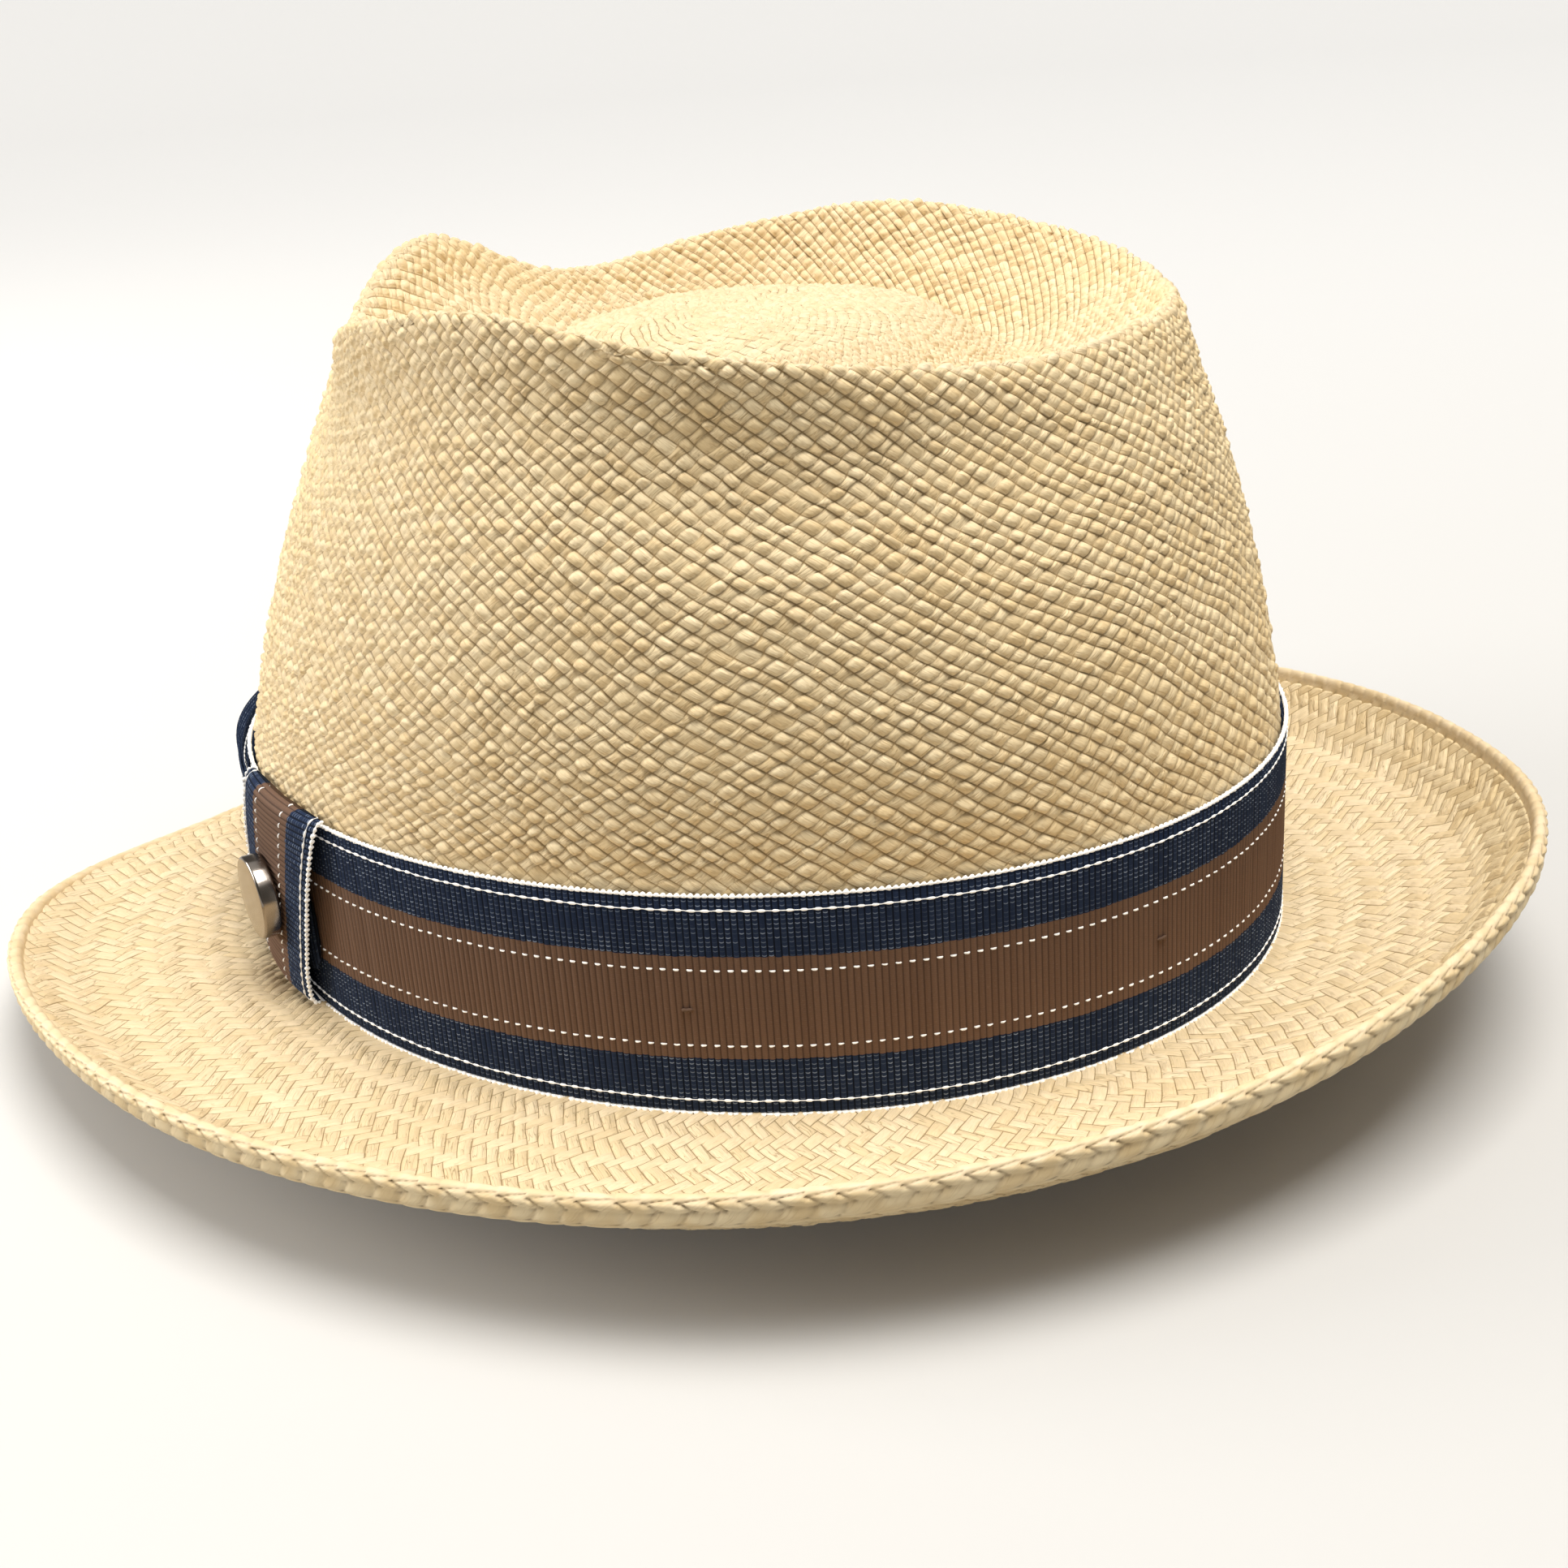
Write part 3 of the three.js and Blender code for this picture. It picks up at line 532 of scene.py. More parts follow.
def straw_material():
    """Split palm straw: each strand has its tone and fibres; painted shade darkens it where it dives
    under, and painted light pales faces turned up to the sky.
    """
    k = Material("straw", rough=0.52, spec=0.45)
    a, b = k.uv("weave")
    family, tone, depth = k.attr("fam"), k.attr("tone"), k.attr("depth")
    other = k.sub(1.0, family)
    along = k.add(k.mul(a, by=family), k.mul(b, by=other))
    across = k.add(k.mul(b, by=family), k.mul(a, by=other))
    shift = k.mul(tone, by=37.0)  # every tone its own fibres
    fibre = k.grain(across, along, shift, x_scale=9.0, y_scale=0.9, detail=3.0, rough=0.6)
    vein = k.grain(across, along, shift, x_scale=15.0, y_scale=1.3, detail=2.0, rough=0.6)
    # some strands are split: dark threadlike gaps run along them, more in one family
    gap = k.grain(across, along, k.add(shift, 5.0), x_scale=3.1, y_scale=0.30, detail=1.0, rough=0.5)
    line = k.ramp(k.distance(gap, centre=0.52), start=0.022, full=0.004)
    split = k.mul(line, by=k.add(0.18, k.mul(family, by=0.34)))
    broad = k.noise(k.place(), scale=16.0, detail=3.0, rough=0.55)
    # painted light: faces turned up to the sky take the paler second palette
    upward = k.ramp(k.attr("up"), start=0.45, full=0.92)

    def colour(name):
        return k.mix(upward, *STRAW_COLOURS[name])

    deep = colour("deep")
    c = k.mix(k.ramp(tone, start=0.05, full=0.85), colour("mid"), colour("light"))
    c = k.tint(c, deep, fibre, start=0.50, full=0.70, strength=0.55)
    c = k.tint(c, deep, vein, start=0.52, full=0.68, strength=0.40)
    c = k.tint(c, colour("warm"), broad, start=0.42, full=0.66, strength=0.18)
    c = k.mix(split, c, colour("crease"))
    # painted shade in the creases where one strand dives under another
    c = k.mix(k.ramp(depth, start=0.0, full=0.38), colour("crease"), c)
    k.base(c)
    k.vary_rough(fibre, least=0.42, spread=0.25)
    relief = k.sub(k.add(fibre, k.mul(vein, by=0.8)), split)
    k.bump(relief, strength=0.6, distance=0.00018)
    return k.material


def rim_material():
    k = Material("straw_rim", rough=0.5, spec=0.45)
    u, v = k.uv("mm")
    slanted = k.add(v, k.mul(u, by=0.55))
    fibre = k.grain(slanted, u, 0.0, x_scale=3.2, y_scale=0.25, detail=3.0, rough=0.6)
    tone = k.grain(u, v, 3.0, x_scale=0.24, y_scale=0.3, detail=1.0, rough=0.5)
    broad = k.noise(k.place(), scale=22.0, detail=3.0, rough=0.6)
    depth, up = k.attr("depth"), k.attr("up")

    # painted light: the roll's upper side takes the paler sky-facing palette
    def colour(name):
        return k.mix(up, *STRAW_COLOURS[name])

    c = k.mix(k.ramp(tone, start=0.35, full=0.65), colour("mid"), colour("light"))
    c = k.tint(c, colour("deep"), fibre, start=0.5, full=0.72, strength=0.4)
    c = k.tint(c, colour("warm"), broad, start=0.45, full=0.7, strength=0.25)
    # painted shade in the braid's seams and under its roll, carried by depth
    c = k.mix(k.sub(1.0, depth), c, RIM_CREASE)
    k.base(c)
    k.bump(fibre, strength=0.4, distance=0.00015)
    return k.material


def grosgrain_material(name, striped):
    """Navy grosgrain with light flecks and shadow between its ribs; striped adds a brown middle.
    The map is in millimetres."""
    k = Material(name, rough=0.9, spec=0.12)
    s, w = k.uv("mm")
    rib = k.div(s, by=RIB)
    cell, x = k.math("FLOOR", rib), k.math("FRACT", rib)
    thread = k.div(w, by=0.77)  # pitch of the threads across the ribbon
    row, y = k.math("FLOOR", thread), k.math("FRACT", thread)
    fleck_tone = k.random(cell, row, salt=0.5)
    rib_tone = k.random(cell, 7.0, salt=1.5)
    fuzz = k.grain(s, w, 0.0, x_scale=2.4, y_scale=2.4, detail=4.0, rough=0.7)
    patch = k.grain(s, w, 4.0, x_scale=0.06, y_scale=0.11, detail=2.0, rough=0.6)
    twist = k.math("FRACT", k.add(k.mul(thread, by=2.0), k.mul(x, by=0.5)))
    # flecks: short dashes across each rib, their ends sagging
    fleck_x = k.mul(k.ramp(k.distance(x, centre=0.5), start=0.40, full=0.26), by=1.0)
    sag = k.mul(k.math("POWER", k.distance(x, centre=0.5), 2.0), by=0.9)
    fleck_y = k.ramp(k.distance(k.sub(y, sag), centre=0.42), start=0.15, full=0.07)
    contrast = k.math("POWER", fleck_tone, 1.3)
    bright = k.mul(contrast, by=k.ramp(patch, start=0.28, full=0.60))
    fleck = k.mul(k.mul(fleck_x, by=fleck_y), by=bright)
    c = k.blend(rib_tone, NAVY, NAVY_2, strength=0.6)
    c = k.blend(fleck, c, FLECK, strength=0.95)
    c = k.tint(c, FLECK, fuzz, start=0.58, full=0.8, strength=0.16)
    groove = k.ramp(k.distance(x, centre=0.5), start=0.32, full=0.46)
    if striped:
        brown = k.blend(rib_tone, BROWN, BROWN_2, strength=0.7)
        brown = k.tint(brown, BROWN_3, fuzz, start=0.5, full=0.78, strength=0.45)
        brown = k.tint(brown, BROWN_3, twist, start=0.0, full=0.35, strength=0.12)
        # the stripe's borders, uneven from rib to rib and soft over twice 0.06 mm
        wobble = k.mul(k.sub(k.random(cell, 3.0, salt=2.5), 0.5), by=0.22)
        edge = k.add(w, wobble)
        low, high, soft = BAND_W * 0.262, BAND_W * 0.735, 0.06
        above_low = k.ramp(edge, start=low - soft, full=low + soft)
        inside = k.mul(above_low, by=k.ramp(edge, start=high + soft, full=high - soft))
        c = k.mix(inside, c, brown)
        groove = k.mul(groove, by=k.sub(1.0, k.mul(inside, by=0.45)))
    c = k.blend(groove, c, RIB_SHADOW, strength=0.85)
    k.base(c)
    relief = k.add(k.mul(twist, by=0.35), k.mul(fuzz, by=0.8))
    k.bump(relief, strength=0.35, distance=0.00012)
    return k.material


def white_yarn_material():
    k = Material("white_yarn", rough=0.7, spec=0.35)
    white, grey = (0.93, 0.92, 0.90, 1), (0.66, 0.65, 0.63, 1)
    u, v = k.uv("mm")
    twist = k.math("FRACT", k.add(k.mul(u, by=2.2), v))
    fuzz = k.noise(k.place(), scale=1040.0, detail=2.0, rough=0.6)
    # painted shade: the grooves between the yarn's twists go grey
    c = k.mix(k.ramp(twist, start=0.0, full=0.25), k.mix(0.5, white, grey), white)
    c = k.tint(c, grey, fuzz, start=0.5, full=0.8, strength=0.4)
    k.base(c)
    # painted light: a faint glow lifts the white yarn, though it is no lamp
    k.set("Emission Color", c)
    k.set("Emission Strength", 0.16)
    k.bump(k.add(twist, fuzz), strength=0.4, distance=0.0001)
    return k.material


def leather_material():
    k = Material("sweatband_leather", rough=0.5, spec=0.4)
    place = k.place()
    grain = k.noise(place, scale=900.0, detail=3.0, rough=0.6)
    pores = k.node("TexVoronoi")
    pores.inputs["Scale"].default_value = 1100.0
    k.put(pores.inputs["Vector"], place)
    wear = k.noise(place, scale=24.0, detail=4.0, rough=0.6)
    tan, worn, dark = (0.20, 0.088, 0.036, 1), (0.31, 0.150, 0.066, 1), (0.13, 0.055, 0.022, 1)
    c = k.mix(k.ramp(wear, start=0.3, full=0.7), tan, worn)
    c = k.tint(c, dark, grain, start=0.45, full=0.75, strength=0.35)
    k.base(c)
    k.vary_rough(wear, least=0.38, spread=0.25)
    relief = k.add(pores.outputs["Distance"], k.mul(grain, by=0.5))
    k.bump(relief, strength=0.35, distance=0.00012)
    return k.material


def label_material():
    """Plain woven cloth."""
    k = Material("label_cloth", rough=0.75, spec=0.3)
    pale, dark, pitch = (0.82, 0.80, 0.74, 1), (0.58, 0.56, 0.50, 1), 0.5
    waves = [
        k.math("ABSOLUTE", k.math("SINE", k.mul(q, by=math.pi / pitch))) for q in k.uv("mm")
    ]
    height = k.mul(*waves)
    fuzz = k.noise(k.place(), scale=700.0, detail=3.0, rough=0.6)
    # painted shade in the hollows between the threads
    c = k.mix(k.ramp(height, start=0.0, full=0.5), dark, pale)
    k.base(k.blend(fuzz, c, dark, strength=0.25))
    k.bump(height, strength=0.5, distance=0.0001)
    return k.material


def metal_material(name, colour, dark, rough, brushed=0.0):
    k = Material(name, rough=rough, metal=1.0, spec=0.5)
    place = k.place()
    fine = k.noise(place, scale=420.0, detail=4.0, rough=0.6)
    broad = k.noise(place, scale=60.0, detail=3.0, rough=0.6)
    k.base(k.mix(k.ramp(broad, start=0.3, full=0.75), colour, dark))
    k.vary_rough(fine, least=rough - 0.03, spread=0.10 + brushed)
    k.bump(fine, strength=0.05, distance=0.00004)
    return k.material


def speckled_material(name, rough, spec, scale, detail, colours, relief):
    """Two colours mixed by one noise, which is also the relief."""
    k = Material(name, rough=rough, spec=spec)
    speckle = k.noise(k.place(), scale=scale, detail=detail, rough=0.6)
    k.base(k.mix(speckle, *colours))
    k.bump(speckle, strength=relief, distance=0.0001)
    return k.material


def rear_bow_material():
    k = Material("sweatband_ribbon_brown", rough=0.55, spec=0.4)
    s, _ = k.uv("mm")
    x = k.math("FRACT", k.div(s, by=REAR_RIB))
    groove = k.ramp(k.distance(x, centre=0.5), start=0.3, full=0.5)
    fuzz = k.noise(k.place(), scale=500.0, detail=3.0, rough=0.6)
    c = k.mix(fuzz, (0.050, 0.028, 0.018, 1), (0.085, 0.050, 0.034, 1))
    # painted shade in the grooves between the ribs
    k.base(k.blend(groove, c, (0.012, 0.007, 0.005, 1), strength=0.6))
    k.bump(fuzz, strength=0.2, distance=0.0001)
    return k.material


# ------------------------------------------------------------------ straw
class Patch:
    """Rows of a woven lattice on a Sheet. The lattice lines a = whole and b = whole run along
    triangle edges, so that every strand's border is a crease. steps is grid steps per lattice
    unit, count the lattice units round the hat, inset how far it lies inside the sheet."""

    def __init__(self, sheet, count, steps, v0, v1, pitch, weave, relief, seed,
                 inset=0.0, stagger=0.0, ease=0.0, lift=0.0):
        self.count, self.steps, self.weave, self.seed = count, steps, weave, seed
        length = sheet.mean_length * abs(v1 - v0)
        self.rows = rows = max(2, int(round(length / (pitch / steps)))) + 1
        self.columns = count * steps
        p, q = np.meshgrid(np.arange(self.columns), np.arange(rows))
        a, b = (p + q) / steps, (p - q) / steps
        s, t = p / steps, q / steps
        rng = np.random.default_rng(seed)
        phase = rng.uniform(0, 2 * np.pi, (6, count))
        offset = rng.normal(0, 0.07, (2, count))
        wave = rng.uniform(4, 11, (4, count))
        shifts = rng.uniform(0, 6.28, 3)

        def jitter(strand, family):
            """Sideways wander of a strand along its length."""
            k, fine = strand % count, family + 2
            slow = np.sin(2 * np.pi * t / wave[family][k] + phase[family][k])
            quick = np.sin(2 * np.pi * t / (wave[fine][k] * 0.37) + phase[fine][k])
            return offset[family][k] + 0.085 * slow + 0.055 * quick

        i, j = np.floor(a).astype(int), np.floor(b).astype(int)
        xa, xb = a - i, b - j
        da = (1 - xa) * jitter(i, 0) + xa * jitter(i + 1, 0)
        db = (1 - xb) * jitter(j, 1) + xb * jitter(j + 1, 1)
        if stagger:
            # strands that lean one way run long, so their ends stagger from row to row
            line = np.round(b)
            sign = np.where((i + line.astype(int)) % 2 == 0, 1.0, -1.0)
            hump = np.clip(1.6 * np.sin(np.pi * xa), 0, 1)
            db = db + stagger * sign * hump * (1 - 2 * np.abs(b - line))

        def ripple(waves, drift, shift):
            return np.sin(2 * np.pi * waves * s / count + t * drift + shift)

        # slow drifts of whole rows and columns, held still at the first and last row
        sway = (0.20 * ripple(7, 0.11, shifts[0]) + 0.12 * ripple(11, -0.17, shifts[1])
                + 0.05 * ripple(19, 0.3, shifts[2]))
        rise = 0.12 * ripple(11, 0.15, shifts[2]) + 0.06 * ripple(19, -0.25, shifts[0])
        free = np.clip(np.minimum(q, (rows - 1) - q) / (1.5 * steps), 0, 1)
        free = free * free * (3 - 2 * free)
        s2 = s + ((da + db) / 2 + sway * 0.9) * free
        t2 = t + ((da - db) / 2 + rise * 0.7) * free
        if lift:
            # rows climb towards phi 210 and dip towards phi 30
            far = np.clip(np.minimum(t, (rows - 1) / steps - t) / 14.0, 0, 1)
            t2 = t2 + lift * np.sin(2 * np.pi * (s / count - 1 / 3)) * far * far * (3 - 2 * far)
        phi = s2 / count * 360.0
        base, normal = sheet.at(phi, v0 + (v1 - v0) * t2 * steps / (rows - 1))

        on_top, fi, fj = self.floats(i, j)
        along_a, along_b = 2 * xa - 1, 2 * xb - 1
        y = np.where(on_top, along_b, along_a)
        if weave == "plain":
            x = np.where(on_top, along_a, along_b)
        else:
            x = np.where(on_top, (a - fi) - 1, (b - fj) - 1)
        fi, fj = self.wrap(fi, fj)
        swell = 0.62 + 0.76 * hashed(fi, fj, seed=seed + 1)
        tilt_y = (hashed(fi, fj, seed=seed + 2) - 0.5) * 0.9
        tilt_x = (hashed(fi, fj, seed=seed + 3) - 0.5) * 0.5
        if weave == "plain":
            # rows that lean one way run on unbroken; the creases across them are shallower
            f = np.maximum(0, 1 - np.abs(along_a) ** 3.2) ** 0.72
            g = 0.22 + 0.78 * np.maximum(0, 1 - np.abs(along_b) ** 3.2) ** 0.72
            if stagger:
                swell = np.where(on_top, swell * 0.78, swell * 1.08)
        else:
            f = np.maximum(0, 1 - np.abs(x) ** 5) ** 0.8
            g = np.maximum(0, 1 - np.abs(y) ** 5) ** 0.9
        height = relief * (f * g * swell * (1 + tilt_y * y + tilt_x * x) - 0.45)
        if ease:
            # the relief reaches its full height this many units from the first row
            k = np.clip((t - ease + 1.5) / 1.5, 0, 1)
            height = height * (0.25 + 0.75 * k * k * (3 - 2 * k))
        side = -1.0 if inset else 1.0  # an inner face swells inwards
        self.points = base + normal * (side * height - inset)[..., None]
        # depth falls to 0 in the creases and masks the painted shade there; up masks the painted
        # light on faces turned up to the sky
        self.depth = np.clip(f * g * (1.0 if weave == "plain" else 1.9), 0, 1)
        self.up = np.clip(side * normal[..., 2], 0, 1)
        self.first_phi, self.last_phi = phi[0] % 360, phi[-1] % 360

    def floats(self, i, j):
        """Whether family a is on top in a lattice cell, and the cell where its float starts."""
        if self.weave == "plain":
            return (i + j) % 2 == 0, i, j
        order = (i - j) % 4
        on_top = order < 2
        return on_top, np.where(on_top, i - order, i), np.where(on_top, j, j - (3 - order))

    def wrap(self, fi, fj):
        """Brings a float's cell back to the first turn round the hat."""
        turns = np.floor((fi + fj + 1) / 2 / self.count).astype(int)
        return fi - turns * self.count, fj - turns * self.count

    def faces(self, base):
        """Triangles (k, 3), lattice and map places per corner, family and tone. base is this
        patch's first vertex."""
        columns, rows, m = self.columns, self.rows, self.steps
        p, q = np.meshgrid(np.arange(columns), np.arange(rows - 1))
        ra, rb = (p + q + 1) % m, (p - q) % m
        rising = np.minimum(ra, m - ra) <= np.minimum(rb, m - rb)
        rising = np.where(ra == 0, True, np.where(rb == 0, False, rising))
        vertex, lattice, share = [], [], []
        for dx, dy in ((0, 0), (1, 0), (0, 1), (1, 1)):
            x, y = p + dx, q + dy
            vertex.append(base + y * columns + x % columns)
            lattice.append(np.stack([x + y, x - y], -1) / m)
            share.append(np.stack([x / columns, y / (rows - 1)], -1))
        cut = rising.reshape(-1, 1)
        corner = np.concatenate([
            np.where(cut, [0, 1, 2], [0, 1, 3]),
            np.where(cut, [1, 3, 2], [0, 3, 2]),
        ])
        cell = np.tile(np.arange(p.size), 2)[:, None]
        tris = np.stack(vertex, 2).reshape(-1, 4)[cell, corner]
        lattice = np.stack(lattice, 2).reshape(-1, 4, 2)[cell, corner]
        share = np.stack(share, 2).reshape(-1, 4, 2)[cell, corner]
        i, j = np.floor(lattice.mean(1)).astype(int).T
        on_top, fi, fj = self.floats(i, j)
        fi, fj = self.wrap(fi, fj)
        line = np.where(on_top, fj % self.count, fi % self.count)
        tone = 0.55 * hashed(line, on_top.astype(int), seed=self.seed + 5)
        tone = tone + 0.45 * hashed(fi, fj, seed=self.seed + 6)
        return tris, lattice, share, on_top.astype(float), tone


def bridge(row_a, row_b):
    """Triangles between two closed rows, each (vertices, rising angles), of any counts."""

    def unrolled(row):
        vertices, angles = row
        order = (int(np.argmin(angles)) + np.arange(len(vertices) + 1)) % len(vertices)
        turned_to = np.array(angles, float)[order]
        turned_to[-1] += 360
        return np.asarray(vertices)[order], turned_to

    (va, a), (vb, b) = unrolled(row_a), unrolled(row_b)
    tris = []
    x = y = 0
    while x < len(va) - 1 or y < len(vb) - 1:
        if y >= len(vb) - 1 or (x < len(va) - 1 and a[x + 1] <= b[y + 1]):
            tris.append((va[x], va[x + 1], vb[y]))
            x += 1
        else:
            tris.append((va[x], vb[y + 1], vb[y]))
            y += 1
    return np.array(tris)


class Shell:
    """Gathers the woven shell. A row is (vertices, angles). Each part gets its own strip of the
    bake map, "share" high."""

    JOIN_SHARE = 0.008

    def __init__(self):
        self.point_data = {"points": [], "depth": [], "up": []}
        self.face_data = {"tris": [], "weave": [], "bake": [], "fam": [], "tone": []}
        self.count = 0
        self.map_used = 0.0

    def strip(self, share):
        """The next free strip of the bake map."""
        low = self.map_used
        self.map_used += share
        return low + 0.001, self.map_used - 0.001

    def all_points(self):
        return np.concatenate(self.point_data["points"])

    def add_points(self, points, depth, up):
        base = self.count
        for key, part in zip(self.point_data, (points, depth, up)):
            self.point_data[key].append(part)
        self.count += len(points)
        return base + np.arange(len(points))

    def add_faces(self, tris, weave, bake, family=0.0, tone=0.5):
        blank = np.zeros(len(tris))
        parts = (tris, weave, bake, blank + family, blank + tone)
        for key, part in zip(self.face_data, parts):
            self.face_data[key].append(part)

    def add_patch(self, patch, flip, share):
        """Returns the patch's first and last rows."""
        ids = self.add_points(patch.points.reshape(-1, 3), patch.depth.ravel(), patch.up.ravel())
        tris, lattice, place, family, tone = patch.faces(ids[0])
        if flip:
            tris, lattice, place = tris[:, ::-1], lattice[:, ::-1], place[:, ::-1]
        low, high = self.strip(share)
        bake = np.stack([place[..., 0] * 0.996 + 0.002, low + (high - low) * place[..., 1]], -1)
        self.add_faces(tris, lattice, bake, family, tone)
        n = patch.columns
        return (ids[:n], patch.first_phi), (ids[-n:], patch.last_phi)

    def add_ring(self, phi, out, z):
        n = len(phi)
        return self.add_points(on_wall(phi, out, z), np.full(n, 0.5), np.zeros(n)), phi

    def join(self, row_a, row_b):
        tris = bridge(row_a, row_b)
        corners = self.all_points()[tris]
        angle = np.degrees(np.arctan2(corners[..., 0], -corners[..., 1])) % 360
        angle = np.where(angle.max(1, keepdims=True) - angle < 180, angle, angle + 360)
        low, high = self.strip(self.JOIN_SHARE)
        v = np.where(np.isin(tris, row_a[0]), low, high)
        bake = np.stack([angle / 364 * 0.996 + 0.002, v], -1)
        self.add_faces(tris, corners[..., :2] / 3.0, bake)

    def close(self, row, z, flip):
        """A fan from a row to a point on the hat's axis."""
        apex = self.add_points(np.array([[0, 0, z]]), np.array([0.6]), np.array([1.0]))
        ids, ahead = row[0], np.roll(row[0], -1)
        pair = [ahead, ids] if flip else [ids, ahead]
        tris = np.stack(pair + [np.full(len(ids), apex[0])], -1)
        flat = self.all_points()[tris][..., :2]
        low, high = self.strip(self.JOIN_SHARE)
        bake = flat / 8.0 * 0.003 + np.array([0.5, (low + high) / 2])
        self.add_faces(tris, flat / 3.0, bake)


# Crown strands: their number low down, grid steps and pitch; the same for the brim.
CROWN_COUNT, CROWN_STEPS, CROWN_PITCH = 152, 6, 2.5
BRIM_COUNT, BRIM_STEPS, BRIM_PITCH = 244, 6, 3.75
INNER_STEPS = 3  # grid steps on the inside faces
# Radii at which the number of crown strands halves; the last is the hole closed by a fan.
HALVING_RADII = [37.0, 19.0, 9.5, 2.6]
CROWN_SHARES = [0.34, 0.05, 0.03, 0.02]
RING_COUNT, RING_HEIGHTS = 336, [30.0, 18.0, 7.5]  # plain rows behind the hatband
BRIM_V0 = 0.03


def crown_v(target):
    """The last v at which the crown's mean radius shrinks past the target."""
    radius = np.linalg.norm(CROWN.points[:-1, :, :2], axis=2).mean(0)
    k = np.where((radius[:-1] >= target) & (radius[1:] < target))[0]
    return float(np.linspace(0, 1, CROWN.nv)[k[-1]])


def straw_body():
    """One woven shell: outside over the crown and brim to the edge, and back along the inside."""
    start = (WEAVE_FROM_Z - CROWN_FROM_Z) / CROWN.mean_length
    gap = (CROWN_PITCH / CROWN_STEPS) / CROWN.mean_length
    cuts = [start] + [crown_v(radius) for radius in HALVING_RADII]
    patches = []
    for k in range(4):
        if k == 0:
            style = dict(relief=0.66, stagger=0.07, ease=3.4, lift=3.0)
        else:
            style = dict(relief=0.50, stagger=0.04)
        patches.append(Patch(CROWN, CROWN_COUNT // 2**k, CROWN_STEPS, cuts[k], cuts[k + 1] - gap,
                             CROWN_PITCH, "plain", seed=11 + k, **style))
    brim = Patch(BRIM, BRIM_COUNT, BRIM_STEPS, BRIM_V0, 1.0, BRIM_PITCH, "twill",
                 relief=0.40, seed=31)
    under = Patch(BRIM, BRIM_COUNT, INNER_STEPS, BRIM_V0, 1.0, BRIM_PITCH, "twill",
                  relief=0.26, seed=41, inset=STRAW)
    inner = Patch(CROWN, CROWN_COUNT, INNER_STEPS, start, crown_v(9.5), CROWN_PITCH, "plain",
                  relief=0.36, seed=51, inset=STRAW)
    shell = Shell()
    # outside of the crown
    rows = [shell.add_patch(patch, False, share) for patch, share in zip(patches, CROWN_SHARES)]
    for lower, upper in zip(rows, rows[1:]):
        shell.join(lower[1], upper[0])
    shell.close(rows[-1][1], DOME_Z, flip=False)
    # behind the hatband, down to the brim
    phi = np.arange(RING_COUNT) * 360.0 / RING_COUNT
    rings = [shell.add_ring(phi, 0.0, z) for z in RING_HEIGHTS]
    brim_first, brim_last = shell.add_patch(brim, True, 0.20)
    shell.join(rings[0], rows[0][0])
    shell.join(rings[1], rings[0])
    shell.join(rings[2], rings[1])
    shell.join(brim_first, rings[2])
    # round the edge to the underside, and back up inside
    under_first, under_last = shell.add_patch(under, False, 0.10)
    shell.join(under_last, brim_last)
    rings = [shell.add_ring(phi, -STRAW, z) for z in RING_HEIGHTS[::-1]]
    shell.join(rings[0], under_first)
    shell.join(rings[1], rings[0])
    shell.join(rings[2], rings[1])
    inner_first, inner_last = shell.add_patch(inner, True, 0.13)
    shell.join(inner_first, rings[2])
    shell.close(inner_last, DOME_Z - STRAW, flip=True)

    point = {key: np.concatenate(parts) for key, parts in shell.point_data.items()}
    face = {key: np.concatenate(parts) for key, parts in shell.face_data.items()}
    maps = {"weave": [face["weave"]], "OFBake": [face["bake"]]}
    faces, uvs = outward(point["points"], [face["tris"]], maps)
    ob = build("straw_woven", straw_material(), point["points"], faces, uvs,
               face_floats={key: face[key] for key in ("fam", "tone")},
               point_floats={key: point[key] for key in ("depth", "up")})
    declare(ob, "straw_body")


straw_body()

# ------------------------------------------------------------------ rim
LOBE_PITCH, LOBE_STEPS = 4.3, 12
RIM_GIRTH = 11.0
# Rows of lobes round the lip's section, angles as 0 = outward and 90 = up:
# (upper angle, lower angle, slant, phase, relief)
RIM_ROWS = [
    (165, 60, -0.30, 0.0, 0.38),
    (60, 8, -0.60, 0.35, 0.80),
    (8, -38, 0.35, 0.95, 0.52),
    (-38, -78, -0.5, 1.5, 0.34),
    (-78, -195, 0.3, 0.0, 0.16),
]


